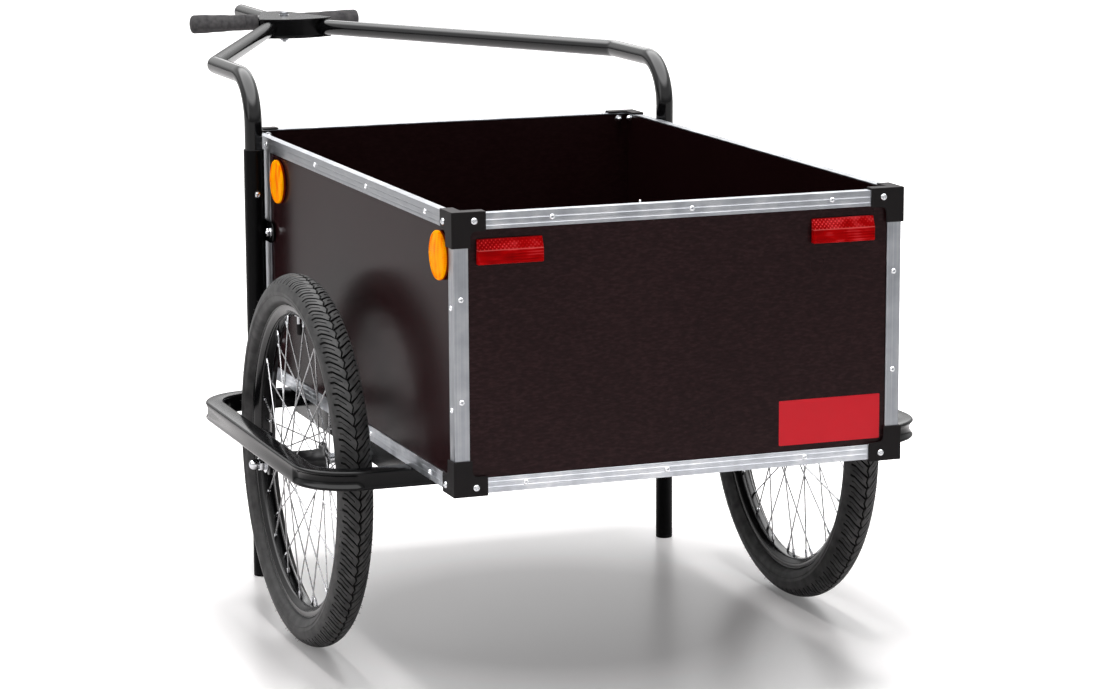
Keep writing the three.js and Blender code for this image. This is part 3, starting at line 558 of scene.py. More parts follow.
def red_finish():
    """Red lens plastic: diamonds on the upper slope, fine rows on one end below the ridge, a
    painted highlight along the ridge and a faint painted glow though it is no lamp.
    """
    # Emission_Strength gives the lens a painted glow.
    f = Finish(
        "red_prism_lens", (0.42, 0.002, 0.004), 0.28,
        Specular_IOR_Level=0.03, Emission_Strength=0.15,
    )
    x, _, z = f.axes()
    half = RED_SPACING / 2
    across = f.math("FLOORED_MODULO", f.plus(x, half - RED_LEFT), RED_SPACING)
    across = f.math("SUBTRACT", across, half)
    above = f.math("SUBTRACT", z, RED_RIDGE)
    slants = (f.wave(f.math(way, x, z), RED_DIAMOND) for way in ("ADD", "SUBTRACT"))
    diamonds = f.range(f.times(*slants), 0.0, 1.0, 0.20, 0.55)
    diamonds = f.times(diamonds, f.range(across, 0.8, 0.25, -0.03, 0.01))
    rows = f.times(f.wave(z, RED_ROW), f.range(across, 0.12, 0.45, -0.005, 0.005))
    pattern = f.mixed(f.range(above, 0.0, 1.0, -0.0003, 0.0003), rows, diamonds)
    one_end = f.range(across, 0.0, 0.06, -0.001, 0.001)
    deep = f.mixed(f.range(above, 1.0, 0.0, -0.0006, 0.0), 0.0, one_end)
    broad = f.noise(1.0, 1.0, (40.0, 40.0, 90.0))
    level = f.plus(f.times(pattern, 0.36), f.times(broad, 0.72))
    tone = f.ramp(f.math("SUBTRACT", level, deep), [
        (0.20, (0.26, 0.0006, 0.0012)),
        (0.42, (0.46, 0.0010, 0.0018)),
        (0.70, (0.90, 0.070, 0.080)),
    ])
    # A painted highlight: lighter pink along the ridge, where the light catches it.
    ridge = f.range(f.size(above), 0.55, 0.0, 0.0002, 0.0009)
    f.colour(f.tinted(ridge, tone, (0.9, 0.16, 0.15)), lit=True)
    f.bump(pattern, 0.5, 0.0006)
    return f.material


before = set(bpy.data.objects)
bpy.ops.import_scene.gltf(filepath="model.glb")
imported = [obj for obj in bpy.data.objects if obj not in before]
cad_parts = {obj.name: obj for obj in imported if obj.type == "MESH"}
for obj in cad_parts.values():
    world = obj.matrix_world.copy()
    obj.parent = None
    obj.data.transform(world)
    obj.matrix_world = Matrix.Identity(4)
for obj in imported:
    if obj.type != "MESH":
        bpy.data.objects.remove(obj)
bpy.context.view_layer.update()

PLY_X = plywood("film_plywood_x", 0, 0.12, 0.25)
PLY_Y = plywood("film_plywood_y", 1, 0.028, 0.17)
# One aluminium in lit and shaded copies: the levels differ by the way the bars face, and the base
# bars are lighter, as painted light and shade.
BARS = [
    aluminium("drawn_aluminium_x", 0, 0.38, 0.22),
    aluminium("drawn_aluminium_y", 1, 0.30, 0.22),
    aluminium("drawn_aluminium_z", 2, 0.35, 0.5),
]
BASE_BARS = [
    aluminium("base_aluminium_x", 0, 0.53, 0.22),
    aluminium("base_aluminium_y", 1, 0.68, 0.22),
]
COAT = (0.0032, 0.0032, 0.0036)
BLACK = coated("tube_black_coat", COAT, 0.17, 0.02, 700.0, 0.15)
ARM_BLACK = coated("arm_black_coat", COAT, 0.13, 0.02, 700.0, 0.38)
LEG_BLACK = coated("leg_black_coat", COAT, 0.24, 0.02, 700.0, 0.06)
CAP = coated("cap_plastic_black", (0.0215, 0.0198, 0.0203), 0.5, 0.2, 500.0, 0.04)
GLOSS = coated("rim_gloss_black", (0.004, 0.004, 0.0045), 0.18, 0.02, 260.0, 0.3)
HUB = coated("hub_black_anodised", (0.010, 0.010, 0.011), 0.3, 0.06, 500.0, 0.35)
STICKER = coated("red_vinyl", (0.80, 0.006, 0.020), 0.4, 0.04, 300.0, 0.3)
FOAM = foam_finish()
RUBBER = rubber_finish()
AMBER = amber_finish()
RED = red_finish()
STEEL = metal("bright_steel", (0.56, 0.57, 0.59), 0.2)
DULL_STEEL = metal("dull_steel", (0.34, 0.35, 0.37), 0.34)
SPOKE = metal("spoke_steel", (0.40, 0.40, 0.41), 0.26, 90.0)
RIVET = metal("rivet_aluminium", (0.80, 0.81, 0.83), 0.28)


def dress(node, finish):
    """Gives a CAD node that stays its finish."""
    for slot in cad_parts[node].material_slots:
        slot.material = finish


# Box


def build_panels():
    for node in ("left_panel", "right_panel", "floor_panel"):
        dress(node, PLY_Y)
    for node in ("rear_panel", "front_panel"):
        dress(node, PLY_X)


def build_bars():
    for side, along in (("left", 1), ("right", 1), ("rear", 0), ("front", 0)):
        for level, bars in (("rim", BARS), ("base", BASE_BARS)):
            rounded_copy(f"{side}_{level}_angle", bars[along], "chassis", BAR_EDGE)
    for end in ("rear", "front"):
        for side, _ in SIDES:
            rounded_copy(f"{end}_{side}_post", BARS[2], "chassis", BAR_EDGE)
    for side, _ in SIDES:
        rounded_copy(f"{side}_backing_strip", BARS[2], "chassis")


def build_caps():
    for end in ("rear", "front"):
        for side, _ in SIDES:
            for level in ("upper", "lower"):
                rounded_copy(
                    f"{end}_{side}_{level}_cap", CAP, "chassis", 0.0009, 3
                )


def rivet(shell, point, outward):
    profile = [
        (0.0035, -0.0004), (0.0035, 0.0003), (0.0031, 0.0010), (0.0022, 0.0015),
        (0.0014, 0.0016), (0.0012, 0.0010), (0.0011, -0.0008), (0.0, -0.0008),
    ]
    shell.turned([(0.0, -0.0004), *profile], point, outward, 20)


def screw(shell, point, outward, radius=0.0046, height=0.0020):
    """A domed head with a hexagon socket's hollow."""
    profile = [
        (0.0, -0.0003), (radius, -0.0003), (radius, height * 0.25),
        (radius * 0.86, height * 0.72), (radius * 0.55, height), (radius * 0.42, height),
        (radius * 0.34, height * 0.25), (0.0, height * 0.2),
    ]
    shell.turned(profile, point, outward, 24)


def button(shell, point, outward):
    """A button-head screw with its hexagon socket open."""
    shell.turned([
        (0.0, -0.0003), (0.0045, -0.0003), (0.0045, 0.0006), (0.0042, 0.0015), (0.0034, 0.0023),
        (0.0024, 0.0027), (0.0019, 0.0026), (0.0016, 0.0014), (0.0, 0.0012),
    ], point, outward, 36)


def dome(shell, point, outward):
    """A domed nut with its hexagon below the dome."""
    nut(shell, point, outward, 0.0078, 0.0028, 0.0006)
    shell.turned([
        (0.0036, 0.0030), (0.0036, 0.0040), (0.0032, 0.0054), (0.0021, 0.0063), (0.0, 0.0066),
    ], point, outward, 24)


def nut(shell, point, outward, across, height, washer=0.0):
    """A hexagon nut with turned corners on a washer."""
    at_base = point
    if washer:
        shell.turned([
            (0.0, 0.0), (across * 0.72, 0.0), (across * 0.72, washer * 0.8),
            (across * 0.69, washer), (0.0, washer),
        ], point, outward, 28)
        at_base = point + outward * washer
    reach = across / 2 / math.cos(math.pi / 6)
    chamfer = height * 0.14
    u = outward.orthogonal().normalized()
    v = outward.cross(u)
    rings = []
    for level, scale in ((0.0, 0.93), (chamfer, 1.0), (height - chamfer, 1.0), (height, 0.93)):
        rings.append([
            at_base + outward * level + (u * a + v * b) * scale
            for a, b in circle(reach, 6)
        ])
    shell.loft(rings)


def build_rivets():
    shell = Shell()
    for _, sign in SIDES:
        for places, z in ((SIDE_RIM_RIVETS, SIDE_RIM_Z), (SIDE_BASE_RIVETS, SIDE_BASE_Z)):
            for y in places:
                rivet(shell, at(sign * BOX_X, y, z), X * sign)
    for sign in (-1, 1):
        for places, z in ((END_RIM_RIVETS, END_RIM_Z), (END_BASE_RIVETS, END_BASE_Z)):
            for x in places:
                rivet(shell, at(-x * sign, sign * BOX_Y, z), Y * sign)
        for _, mirror in SIDES:
            for z in POST_RIVETS:
                rivet(shell, at(mirror * POST_RIVET_X, sign * BOX_Y, z), Y * sign)
                rivet(shell, at(mirror * BOX_X, sign * POST_RIVET_Y, z - POST_STEP), X * mirror)
    shell.turned([
        (0.0, 0.0), (0.0013, 0.0), (0.0013, 0.0030), (0.0009, 0.0036), (0.0, 0.0037),
    ], at(*RIM_TIP, BOX_TOP - 0.0004), Z, 14)
    make("rivets", shell, RIVET, "chassis", "aluminium")


def build_cap_fasteners():
    heads, nuts = Shell(), Shell()
    for y_sign in (-1, 1):
        for side, x_sign in SIDES:
            for side_z, end_z in ((CAP_SIDE_UP[side], CAP_END_UP), (CAP_LOW, CAP_LOW)):
                face_x = x_sign * (BOX_X + CAP_REACH)
                face_y = y_sign * (BOX_Y + CAP_REACH)
                button(heads, at(face_x, y_sign * CAP_SCREW_Y, side_z), X * x_sign)
                button(heads, at(x_sign * CAP_SCREW_X, face_y, end_z), Y * y_sign)
                inside_x = x_sign * (BOX_X - PANEL_INSIDE)
                inside_y = y_sign * (BOX_Y - PANEL_INSIDE)
                dome(nuts, at(inside_x, y_sign * CAP_SCREW_Y, side_z), X * -x_sign)
                dome(nuts, at(x_sign * CAP_SCREW_X, inside_y, end_z), Y * -y_sign)
    make("cap_screws", heads, STEEL, "chassis", "steel", sharp=40)
    make("cap_nuts", nuts, STEEL, "chassis", "steel")


def build_sticker():
    width, height = STICKER_SIZE
    x, z = STICKER_AT
    outline = rounded_box(width / 2, height / 2, STICKER_CORNER)
    shell = Shell().prism(outline, STICKER_THICK, at(x, PANEL_SINK - BOX_Y, z), X, Z)
    make("rear_sticker", shell, STICKER, "chassis", "red_lens")


def build_reflectors():
    for end, y in (("rear", AMBER_MID - AMBER_APART), ("front", AMBER_MID + AMBER_APART)):
        shell = Shell()
        face = BOX_X - PANEL_SINK + 0.0003
        shell.turned([
            (0.0, 0.0), (0.0289, 0.0), (0.0305, 0.0012), (0.0305, 0.0050), (0.0298, 0.0062),
            (0.0284, 0.0066), (0.0276, 0.0058), (0.0266, 0.0060), (0.0190, 0.0072),
            (0.0095, 0.0078), (0.0, 0.0080),
        ], at(face, y, AMBER_Z), X, 72)
        shell.prism([
            (-0.0268, -0.0009), (0.0268, -0.0009), (0.0268, 0.0009), (-0.0268, 0.0009),
        ], 0.0074, at(face, y, AMBER_Z), Y, Z)
        make_pair(
            f"{end}_amber_lens", shell, AMBER, "chassis", "amber_lens",
            f"{end}_amber_reflector", sharp=50,
        )
    for side, _ in SIDES:
        rounded_copy(f"{side}_red_reflector", RED, "chassis", 0.0012, 3)


# Chassis


def frame_ring(point, along, share):
    """The frame tube's section at one station; its outer wall sinks between the lips in a bend."""
    out = Z.cross(along)
    depth = 0.0
    if share is not None:
        ramp = min(1.0, min(share, 1 - share) / BEND_EASE)
        depth = BEND_SINK * ramp * ramp * (3 - 2 * ramp)
    ring = []
    steps = 14
    for i in range(steps + 1):
        b = (2 * i / steps - 1) * (FRAME_HALF - FRAME_EDGE)
        inward = max(0.0, 1 - (abs(b) / (FRAME_HALF - FRAME_EDGE - 0.0005)) ** 2.4)
        ring.append((FRAME_HALF - depth * inward, b))
    ring += rounded_box(FRAME_HALF, FRAME_HALF, FRAME_EDGE)[1:-1]
    return [point + out * a + Z * b for a, b in ring]


def dropout_outline():
    """The plate that holds the axle, with its slot open below; (y, z) from the axle."""
    half, low, slot, top = 0.016, -0.014, 0.0054, 0.0437
    foot, lift = half / 2, low + half / 2
    return [
        (-half, top), (-half, lift), *arc((-foot, lift), foot, (202.5, 225, 247.5)),
        (-slot, low), (-slot, 0.0),
        *arc((0.0, 0.0), slot, (157.5, 135, 112.5, 90, 67.5, 45, 22.5)),
        (slot, 0.0), (slot, low), *arc((foot, lift), foot, (-67.5, -45, -22.5)),
        (half, lift), (half, top),
    ]


def build_frame_tubes():
    turns = (
        (FRAME_MIDDLE, FRAME_Y), (FRAME_X, FRAME_Y), (FRAME_X, -FRAME_Y), (FRAME_MIDDLE, -FRAME_Y),
    )
    corners = [at(x, WHEEL[1] + y, FRAME_Z) for x, y in turns]
    stations = bent_path(corners, [FRAME_BEND, FRAME_BEND], 2.5)
    shell = Shell().loft([frame_ring(*s) for s in stations])
    make_pair("guard_tube", shell, BLACK, "chassis", "black_tube", "frame_tube", sharp=50)
    plate = Shell().prism(dropout_outline(), DROPOUT_THICK, at(DROPOUT_X, *WHEEL[1:]), Y, Z)
    make_pair("outer_dropout", plate, BLACK, "chassis", "black_tube", round_edges=0.0006)
    for side, _ in SIDES:
        rounded_copy(f"{side}_side_rail", BLACK, "chassis", 0.0008, 3)


def lug_outline():
    right = arc((LUG_HALF, 0.0), LUG_END, range(-90, 91, 15))
    return right + arc((-LUG_HALF, 0.0), LUG_END, range(90, 271, 15))


def build_sleeves():
    path = [(at(SLEEVE_X, SLEEVE_Y, z), Z, None) for z in (SLEEVE_LOW, SLEEVE_TOP)]
    shell = hollow_tube(path, SLEEVE_R, SLEEVE_R - SLEEVE_BORE)
    make_pair("sleeve_tube", shell, LEG_BLACK, "chassis", "black_tube", "sleeve")
    lugs, bosses, screws = Shell(), Shell(), Shell()
    outside, across, height, washer = LUG_X + LUG_THICK - 0.0001, 0.0105, 0.0048, 0.0010
    for z in LUG_HEIGHTS:
        lugs.prism(lug_outline(), LUG_THICK, at(LUG_X, SLEEVE_Y, z), Y, Z)
        for y in (SLEEVE_Y - LUG_HALF, SLEEVE_Y + LUG_HALF):
            nut(screws, at(outside, y, z), X, across, height, washer)
            screw(screws, at(outside + height, y, z), X, 0.0030, 0.0022)
    for z in BOSS_HEIGHTS:
        bosses.turned([
            (0.0, 0.0), (0.0058, 0.0), (0.0058, 0.0046), (0.0053, 0.0052), (0.0, 0.0052),
        ], at(SLEEVE_X, SLEEVE_Y - SLEEVE_R + 0.0012, z), -Y, 24)
        screw(screws, at(SLEEVE_X, SLEEVE_Y - SLEEVE_R - 0.0040, z), -Y, 0.0046, 0.0026)
    make_pair("sleeve_lugs", lugs, BLACK, "chassis", "black_tube", round_edges=0.0005)
    make_pair("clamp_bosses", bosses, BLACK, "chassis", "black_tube")
    make_pair("sleeve_screws", screws, STEEL, "chassis", "steel")


def build_legs():
    shell = Shell().turned([
        (0.0, 0.0), (0.0105, 0.0), (0.0121, 0.0006), (TUBE_R, 0.0018), (TUBE_R, 0.0042),
        (0.0122, 0.0045), (0.0122, 0.0050), (TUBE_R, 0.0053), (TUBE_R, LEG_LENGTH - 0.0005),
        (0.0121, LEG_LENGTH), (0.0110, LEG_LENGTH), (0.0110, 0.0120), (0.0, 0.0120),
    ], at(SLEEVE_X, SLEEVE_Y, 0.0), Z, 40)
    make_pair("leg_tube", shell, LEG_BLACK, "{side}_leg", "black_tube", "stand_leg")


# Drawbar


def build_drawbar():
    corners = [
        at(SLEEVE_X, SLEEVE_Y, ARM_LOW), at(SLEEVE_X, SLEEVE_Y, ARM_TOP),
        at(SLEEVE_X, ARM_ELBOW_Y, ARM_TOP), at(*ARM_END, ARM_END_Z),
    ]
    arm = hollow_tube(bent_path(corners, ARM_BENDS), TUBE_R, TUBE_WALL)
    make_pair("arm_tube", arm, ARM_BLACK, "drawbar", "black_tube", "drawbar_arm")
    ends = [at(x, HANDLE_Y, ARM_END_Z) for x in (-HANDLE_HALF, HANDLE_HALF)]
    bar = hollow_tube([(p, X, None) for p in ends], HANDLE_R, TUBE_WALL)
    make("handlebar_tube", bar, ARM_BLACK, "drawbar", "black_tube", ("handlebar",))
    hitch = Shell().turned([
        (0.0, 0.0), (0.0112, 0.0), (0.0121, 0.0005), (TUBE_R, 0.0015), (TUBE_R, 0.0036),
        (0.0122, 0.0039), (0.0122, 0.0043), (TUBE_R, 0.0046), (TUBE_R, HITCH_LENGTH),
        (0.0, HITCH_LENGTH),
    ], at(0.0, HITCH_END, ARM_END_Z), -Y, 40)
    make("hitch_tube_coated", hitch, ARM_BLACK, "drawbar", "black_tube", ("hitch_tube",))
    for node in ("upper_gusset", "lower_gusset"):
        rounded_copy(node, BLACK, "drawbar", 0.0006, 2)
    bolt = Shell()
    nut(bolt, at(0.0, BOLT_Y, ARM_END_Z + 0.0159), Z, BOLT_ACROSS, 0.0048, 0.0006)
    low = at(0.0, BOLT_Y, ARM_END_Z - 0.0164)
    nut(bolt, low, -Z, BOLT_ACROSS, 0.0095, 0.0010)
    bolt.turned([
        (0.0, -0.030), (0.0034, -0.030), (0.0034, 0.0128), (0.0029, 0.0134), (0.0, 0.0134),
    ], low, -Z, 24)
    make("bracket_bolt", bolt, DULL_STEEL, "drawbar", "steel", ("drawbar_bolt",))


def build_grips():
    """Foam grips: swollen near the outer end, with faint finger waves."""
    rings = []
    stations, count = 48, 48
    for i in range(stations + 1):
        share = i / stations
        x = GRIP_START + (GRIP_END - GRIP_START) * share
        radius = GRIP_R + GRIP_SWELL * (3 * share ** 2 - 2 * share ** 3)
        radius += 0.00022 * math.sin(share * 19)
        to_end = GRIP_ROUND - (GRIP_END - x)
        if to_end > 0:
            radius -= GRIP_ROUND - math.sqrt(max(0.0, GRIP_ROUND ** 2 - to_end ** 2))
        radius -= max(0.0, GRIP_LIP - (x - GRIP_START))
        rings.append([
            at(x, HANDLE_Y, ARM_END_Z) + Y * a + Z * b
            for a, b in circle(max(radius, 0.001), count)
        ])
    start = [
        at(GRIP_START, HANDLE_Y, ARM_END_Z) + Y * a + Z * b for a, b in circle(GRIP_BORE, count)
    ]
    made = make_pair(
        "foam_grip", Shell().loft([start, *rings]), FOAM, "drawbar", "foam", "grip", sharp=60,
    )
    collar = Shell().turned([
        (GRIP_BORE, COLLAR_START), (GRIP_R - 0.0005, COLLAR_START),
        (GRIP_R, COLLAR_START + 0.0008), (GRIP_R, GRIP_START + 0.0001),
        (GRIP_BORE, GRIP_START + 0.0001),
    ], at(0.0, HANDLE_Y, ARM_END_Z), X, count, closed=True)
    made += make_pair("grip_collar", collar, FOAM, "drawbar", "foam")


# Wheels


def on_wheel(radius, angle, x):
    """A point of the right wheel; the angle runs from the front over the top."""
    a = math.radians(angle)
    return at(WHEEL[0] + x, WHEEL[1] + radius * math.cos(a), WHEEL[2] + radius * math.sin(a))


def tread_columns():
    """One pitch of the tread: (share of the pitch, groove kind)."""
    return [
        (0.00, None), (0.025, "main"), (0.205, "main"), (0.23, None),
        (0.54, None), (0.56, "minor"), (0.65, "minor"), (0.67, None),
    ]


def groove_depth(kind, across):
    """How deep the tread is cut at a distance across from its middle line, in millimetres."""
    reach = abs(across)
    if reach < 1.2:
        return 2.2
    if kind == "main" and reach < 24.9:
        return 2.5 if reach < 17.9 else 1.6
    if kind == "minor" and 7.1 < reach < 21.9:
        return 1.1
    return 0.0


def build_tyres():
    pitch_angle = 360 / PITCHES
    crown = TYRE_CROWN + TYRE_R
    half_tread = [
        0.0, 1.0, 1.35, 4.0, 7.0, 7.3, 11.0, 14.5, 17.7, 18.1, 21.7, 22.0, 24.7, 25.1, 26.4,
    ]
    tread = [-across for across in reversed(half_tread[1:])] + half_tread
    wall = [67, 71, 76, 82, 86.5, 88, 90, 92, 93.5, 98, 99, 102, 103, 110, 116, 120]
    angles = [-a for a in reversed(wall)]
    angles += [math.degrees(across / 1000 / TYRE_R) for across in tread] + wall
    rows = []
    for angle in angles:
        lift = 0.0008 if 87 < abs(angle) < 93 else 0.0
        if 98.5 <= abs(angle) <= 102.5:
            lift = -0.0006
        rows.append((angle, lift, math.radians(angle) * TYRE_R * 1000))
    foot = [(0.2128, 0.0178), (0.2112, 0.0150), (0.2103, 0.0124), (0.2046, 0.0114)]
    columns = [
        (pitch_angle * (n + share), kind, share)
        for n in range(PITCHES)
        for share, kind in tread_columns()
    ]
    shell, rings = Shell(), []
    for angle, lift, across in rows:
        lean = min(abs(across), 18.0) * 0.95 + max(0.0, min(abs(across), 26.0) - 18.0) * 0.3
        shift = math.degrees(lean / 1000 / crown)
        waver = max(0.0, min(1.0, (7.0 - abs(across)) / 5.0)) * 1.5
        ring = []
        for turn, kind, share in columns:
            zigzag = waver * (4 * abs(share - 0.5) - 1)
            a = math.radians(angle) + zigzag / 1000 / TYRE_R
            depth = groove_depth(kind, across)
            reach = TYRE_R + lift - depth / 1000
            flat = 0.98 if lift > 0 else 1.0
            ring.append(on_wheel(
                TYRE_CROWN + reach * math.cos(a), turn - shift, reach * math.sin(a) * flat
            ))
            # How deep the tread is cut here; the rubber paints it darker as shade.
            shell.depths.append(min(1.0, depth / 1.6))
        rings.append(ring)
    for radius, x in foot:
        rings.append([on_wheel(radius, turn, x) for turn, _, _ in columns])
    for radius, x in reversed(foot):
        rings.append([on_wheel(radius, turn, -x) for turn, _, _ in columns])
    shell.depths += [0.0] * (2 * len(foot) * len(columns))
    shell.loft(rings, closed=True)
    make_pair("tyre_tread", shell, RUBBER, "{side}_wheel", "tyre_rubber", "tyre", sharp=40)


def build_tyre_hairs():
    """The fine rubber whiskers that moulding leaves along both shoulders."""
    draw = random.Random(4)
    base_r = TYRE_R * 0.99
    shell = Shell()
    for sign in (-1, 1):
        for i in range(HAIRS):
            angle = 360 * (i + draw.uniform(-0.3, 0.3)) / HAIRS
            across = math.radians(draw.choice((50, 58, 66)))
            length = draw.uniform(0.0018, 0.0042)
            out = Vector((math.cos(across), math.sin(across) * sign))
            low = (TYRE_CROWN + base_r * out.x, base_r * out.y)
            high = (low[0] + out.x * length, low[1] + out.y * length * 0.8)
            foot = on_wheel(low[0], angle, low[1])
            tip = on_wheel(high[0], angle + draw.uniform(-0.25, 0.25), high[1])
            along = (tip - foot).normalized()
            shell.turned([(0.00028, 0.0), (0.00018, (tip - foot).length)], foot, along, 5)
    make_pair("tyre_hairs", shell, RUBBER, "{side}_wheel", "tyre_rubber")


def build_rims():
    out, low, half = RIM_OUT, RIM_IN, RIM_HALF
    wall = [
        (out, half - 0.0009), (out - 0.0003, half - 0.0003), (out - 0.0009, half),
        (out - 0.0016, half - 0.0003), (out - 0.0020, half - 0.0009),
        (out - 0.0032, half - 0.0011), (out - 0.0066, half - 0.0012),
        (out - 0.0078, half - 0.0020), (low + 0.0022, 0.0084), (low + 0.0006, 0.0066),
        (low, 0.0040),
    ]
    well = [(out, half - 0.0018), (out - 0.0055, half - 0.0018)]
    profile = wall + [(r, -x) for r, x in reversed(wall)] + [(r, -x) for r, x in well]
    profile += [(low + 0.0040, 0.0), *reversed(well)]
    centre = at(*WHEEL)
    shell = Shell().turned(profile, centre, X, 144, closed=True)
    make_pair("rim_ring", shell, GLOSS, "{side}_wheel", "rim_black", "rim")
    foot = on_wheel(RIM_IN, VALVE_ANGLE, 0.0)
    inward = (centre - foot).normalized()
    collar, cap = Shell(), Shell()
    collar.turned([
        (0.0, -0.002), (0.0058, -0.002), (0.0058, 0.0008), (0.0050, 0.0018), (0.0030, 0.0022),
        (0.0030, 0.0140), (0.0, 0.0140),
    ], foot, inward, 20)
    cap.turned([
        (0.0, 0.0120), (0.0038, 0.0120), (0.0040, 0.0130), (0.0040, 0.0240), (0.0032, 0.0264),
        (0.0014, 0.0272), (0.0, 0.0272),
    ], foot, inward, 20)
    make_pair("valve_stem", collar, STEEL, "{side}_wheel", "steel")
    make_pair("valve_cap", cap, CAP, "{side}_wheel", "cap_plastic")


def spoke_lines():
    """(flange point, rim point, which face of the flange) of each spoke."""
    per_flange = SPOKES // 2
    pitch = 360 / per_flange
    lines = []
    for side in (-1, 1):
        for i in range(per_flange):
            leading = 1 if i % 2 == 0 else -1
            hub_angle = pitch * (i + (0.5 if side > 0 else 0)) + 180 / SPOKES
            hub_x = side * 0.0265 + leading * 0.0015
            rim_x = side * 0.003 + leading * 0.00125
            start = on_wheel(HUB_CIRCLE, hub_angle, hub_x)
            end = on_wheel(RIM_CIRCLE, hub_angle + leading * LACING, rim_x)
            lines.append((start, end, leading))
    return lines


def build_spokes():
    wires, nipples = Shell(), Shell()
    for start, end, leading in spoke_lines():
        along = (end - start).normalized()
        wires.turned([(SPOKE_R, 0.0), (SPOKE_R, (end - start).length)], start, along, 10)
        wires.turned([
            (0.0, -0.0036), (SPOKE_R, -0.0036), (SPOKE_R, 0.0006), (0.0019, 0.0008),
            (0.0019, 0.0014), (SPOKE_R, 0.0020), (0.0, 0.0021),
        ], start, X * leading, 12)
        nipples.turned([
            (0.0, 0.0), (0.0016, 0.0), (0.0020, 0.0006), (0.0020, 0.0105), (0.0017, 0.0114),
            (0.0, 0.0114),
        ], end + along * 0.0012, -along, 10)
    make_pair("spoke_wires", wires, SPOKE, "{side}_wheel", "steel")
    make_pair("spoke_nipples", nipples, STEEL, "{side}_wheel", "steel")


def build_hubs():
    flange, shell_r = 0.023, 0.014
    half = [
        (0.0057, -0.0300), (0.0106, -0.0300), (0.0110, -0.0296), (0.0112, -0.0284),
        (0.0210, -0.0281), (flange, -0.0276), (flange, -0.0254), (0.0210, -0.0250),
        (0.0155, -0.0246), (shell_r, -0.0220), (shell_r, -0.0150), (0.0134, -0.0140),
    ]
    profile = half + [(r, -x) for r, x in reversed(half)]
    shell = Shell().turned(profile, at(*WHEEL), X, 56, closed=True)
    make_pair("hub_shell", shell, HUB, "{side}_wheel", "rim_black", "spoked_hub")


def build_axles():
    """Axle, spacers, cones, washers, nuts and the domed nut outside, from the box outwards."""
    shell = Shell()
    y, z = WHEEL[1:]
    shell.turned([
        (0.0, 0.2822), (0.0046, 0.2822), (0.0050, 0.2830), (0.0050, 0.4193), (0.0, 0.4193),
    ], at(0, y, z), X, 28)
    for low, high, face in ((0.3003, 0.3257, 1), (0.4032, 0.3863, -1)):
        length = (high - low) * face
        shell.turned([
            (0.0, 0.0), (0.0067, 0.0), (0.0070, 0.0003), (0.0070, length - 0.0060),
            (0.0080, length - 0.0060), (0.0085, length - 0.0055), (0.0085, length - 0.0008),
            (0.0079, length), (0.0, length),
        ], at(low, y, z), X * face, 28)
    nut(shell, at(0.2942, y, z), -X, *AXLE_NUT)
    nut(shell, at(0.4093, y, z), X, *AXLE_NUT)
    shell.turned([
        (0.0, 0.4193), (0.0068, 0.4193), (0.0070, 0.4201), (0.0070, 0.4255), (0.0064, 0.4287),
        (0.0046, 0.4312), (0.0022, 0.4321), (0.0, 0.4323),
    ], at(0, y, z), X, 32)
    make_pair("axle_parts", shell, STEEL, "chassis", "steel", "axle")


# Stage


def area_light(name, point, target, size, power):
    lamp = bpy.data.lights.new(name, "AREA")
    lamp.shape = "RECTANGLE"
    lamp.size, lamp.size_y = size
    lamp.energy = power
    light = bpy.data.objects.new(name, lamp)
    light.location = Vector(point)
    light.rotation_mode = "QUATERNION"
    light.rotation_quaternion = (Vector(target) - Vector(point)).to_track_quat("-Z", "Y")
    bpy.context.scene.collection.objects.link(light)
    return light


def background_rays(tree, mirrored=1.0):
    """1 for the rays that show the background, or mirrored for glossy and transmission rays."""
    path = tree.nodes.new("ShaderNodeLightPath")
    seen = path.outputs["Is Camera Ray"]
    for name in ("Is Glossy Ray", "Is Transmission Ray"):
        share = tree.nodes.new("ShaderNodeMath")
        share.operation = "MULTIPLY"
        tree.links.new(path.outputs[name], share.inputs[0])
        share.inputs[1].default_value = mirrored
        either = tree.nodes.new("ShaderNodeMath")
        either.operation = "MAXIMUM"
        tree.links.new(seen, either.inputs[0])
        tree.links.new(share.outputs[0], either.inputs[1])
        seen = either.outputs[0]
    return seen


def build_floor():
    mesh = bpy.data.meshes.new("floor")
    reach = 60.0
    mesh.from_pydata(
        [(-reach, -reach, 0), (reach, -reach, 0), (reach, reach, 0), (-reach, reach, 0)],
        [], [(0, 1, 2, 3)],
    )
    floor = bpy.data.objects.new("floor", mesh)
    bpy.context.scene.collection.objects.link(floor)
    f = Finish("floor_white", (0.86, 0.86, 0.86), 0.32, Specular_IOR_Level=0.35)
    # The floor is painted darker towards the camera side: painted shade, which the reflections in
    # the box and tubes see.
    dark, light = (0.30, 0.288, 0.288), (0.86, 0.828, 0.828)
    f.colour(f.ramp(f.range(f.axes()[1], 0.0, 1.0, *FLOOR_SHADE), [(0.0, dark), (1.0, light)]))
    away = f.node("ShaderNodeVectorMath", {0: f.place}, operation="DISTANCE")
    away.inputs[1].default_value = at(0.0, 0.0, 0.0)
    glow = f.range(away.outputs["Value"], 0.03, 0.9, *FLOOR_POOL)
    glow = f.times(glow, background_rays(f.tree, FLOOR_MIRRORED))
    f.tree.links.new(glow, f.shader.inputs["Emission Strength"])
    f.shader.inputs["Emission Color"].default_value = (1.0, 1.0, 1.0, 1)
    mesh.materials.append(f.material)


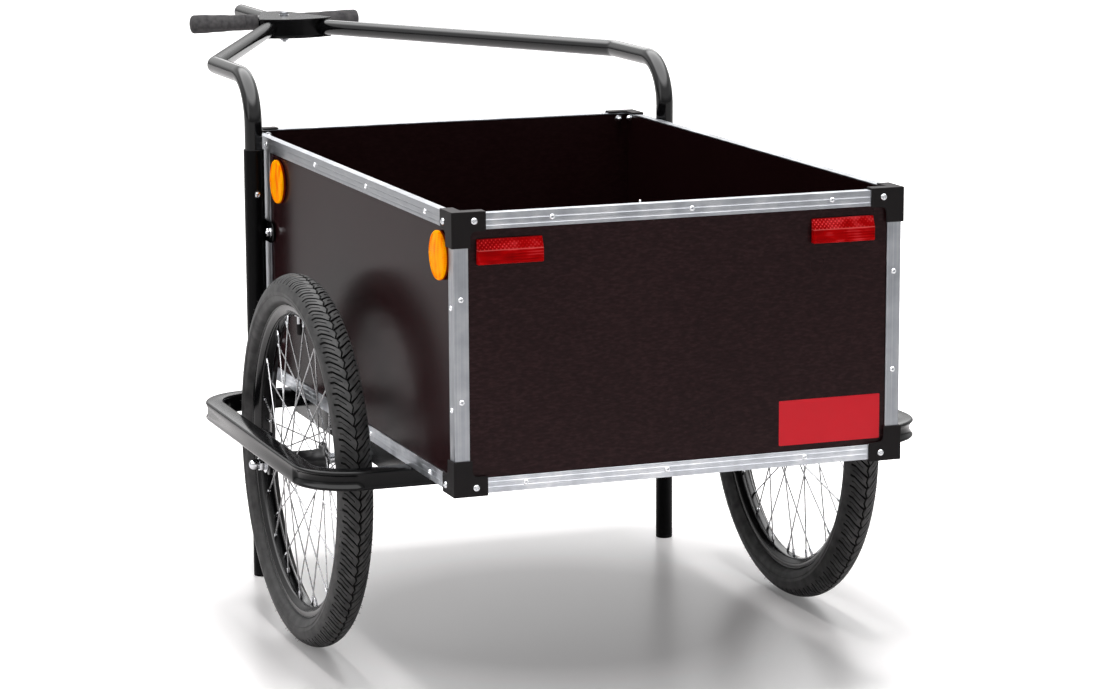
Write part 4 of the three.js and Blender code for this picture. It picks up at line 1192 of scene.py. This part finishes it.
def build_world():
    """White to the eye; reflections see walls that brighten upwards to a lit ceiling."""
    world = bpy.data.worlds.new("studio")
    bpy.context.scene.world = world
    world.use_nodes = True
    tree = world.node_tree
    nodes, links = tree.nodes, tree.links
    soft = nodes["Background"]
    soft.inputs["Color"].default_value = (1.0, 1.0, 1.0, 1)
    soft.inputs["Strength"].default_value = SOFT_LIGHT
    white = nodes.new("ShaderNodeBackground")
    white.inputs["Color"].default_value = (1.0, 1.0, 1.0, 1)
    where = nodes.new("ShaderNodeTexCoord")
    split = nodes.new("ShaderNodeSeparateXYZ")
    links.new(where.outputs["Generated"], split.inputs[0])
    glow = nodes.new("ShaderNodeMath")
    glow.operation = "ADD"
    for i, limits in enumerate((WALL_GLOW, CEILING_GLOW)):
        band = nodes.new("ShaderNodeMapRange")
        band.interpolation_type = "SMOOTHSTEP"
        for socket, value in zip(("From Min", "From Max", "To Min", "To Max"), limits):
            band.inputs[socket].default_value = value
        links.new(split.outputs["Z"], band.inputs["Value"])
        links.new(band.outputs["Result"], glow.inputs[i])
    path = nodes.new("ShaderNodeLightPath")
    level = nodes.new("ShaderNodeMath")
    level.operation = "MAXIMUM"
    links.new(path.outputs["Is Camera Ray"], level.inputs[0])
    links.new(glow.outputs[0], level.inputs[1])
    links.new(level.outputs[0], white.inputs["Strength"])
    mix = nodes.new("ShaderNodeMixShader")
    links.new(background_rays(tree), mix.inputs[0])
    links.new(soft.outputs[0], mix.inputs[1])
    links.new(white.outputs[0], mix.inputs[2])
    links.new(mix.outputs[0], nodes["World Output"].inputs["Surface"])


def build_camera():
    data = bpy.data.cameras.new("camera")
    data.sensor_width = 36.0
    data.sensor_fit = "HORIZONTAL"
    data.lens = FOCAL_PIXELS / IMAGE_WIDTH * data.sensor_width
    data.clip_end = 300.0
    camera = bpy.data.objects.new("camera", data)
    bpy.context.scene.collection.objects.link(camera)
    yaw, pitch, roll = (math.radians(a) for a in CAMERA_TURN)
    forward = Vector((
        math.sin(-yaw) * math.cos(pitch), math.cos(yaw) * math.cos(pitch), math.sin(pitch),
    ))
    right = forward.cross(Z).normalized()
    up = right.cross(forward)
    right_rolled = right * math.cos(roll) + up * math.sin(roll)
    up_rolled = up * math.cos(roll) - right * math.sin(roll)
    turn = Matrix((right_rolled, up_rolled, -forward)).transposed()
    camera.matrix_world = Matrix.Translation(at(*CAMERA_AT)) @ turn.to_4x4()
    bpy.context.scene.camera = camera


def build_lights():
    top = area_light("softbox_top", (0.0, -0.45, 3.4), (0, -0.5, 0.0), (1.25, 1.25), 127)
    top.visible_glossy = False
    area_light("softbox_left", (-3.6, -1.2, 1.9), (0, -0.4, 0.5), (1.6, 2.4), 15)
    area_light("softbox_back", (1.6, 3.6, 2.2), (0, -0.2, 0.5), (2.6, 1.6), 20)


build_camera()
build_world()
build_lights()
build_floor()
build_panels()
build_bars()
build_caps()
build_rivets()
build_cap_fasteners()
build_sticker()
build_reflectors()
build_frame_tubes()
build_sleeves()
build_legs()
build_drawbar()
build_grips()
build_tyres()
build_tyre_hairs()
build_rims()
build_spokes()
build_hubs()
build_axles()
bpy.context.scene.view_settings.view_transform = "Standard"
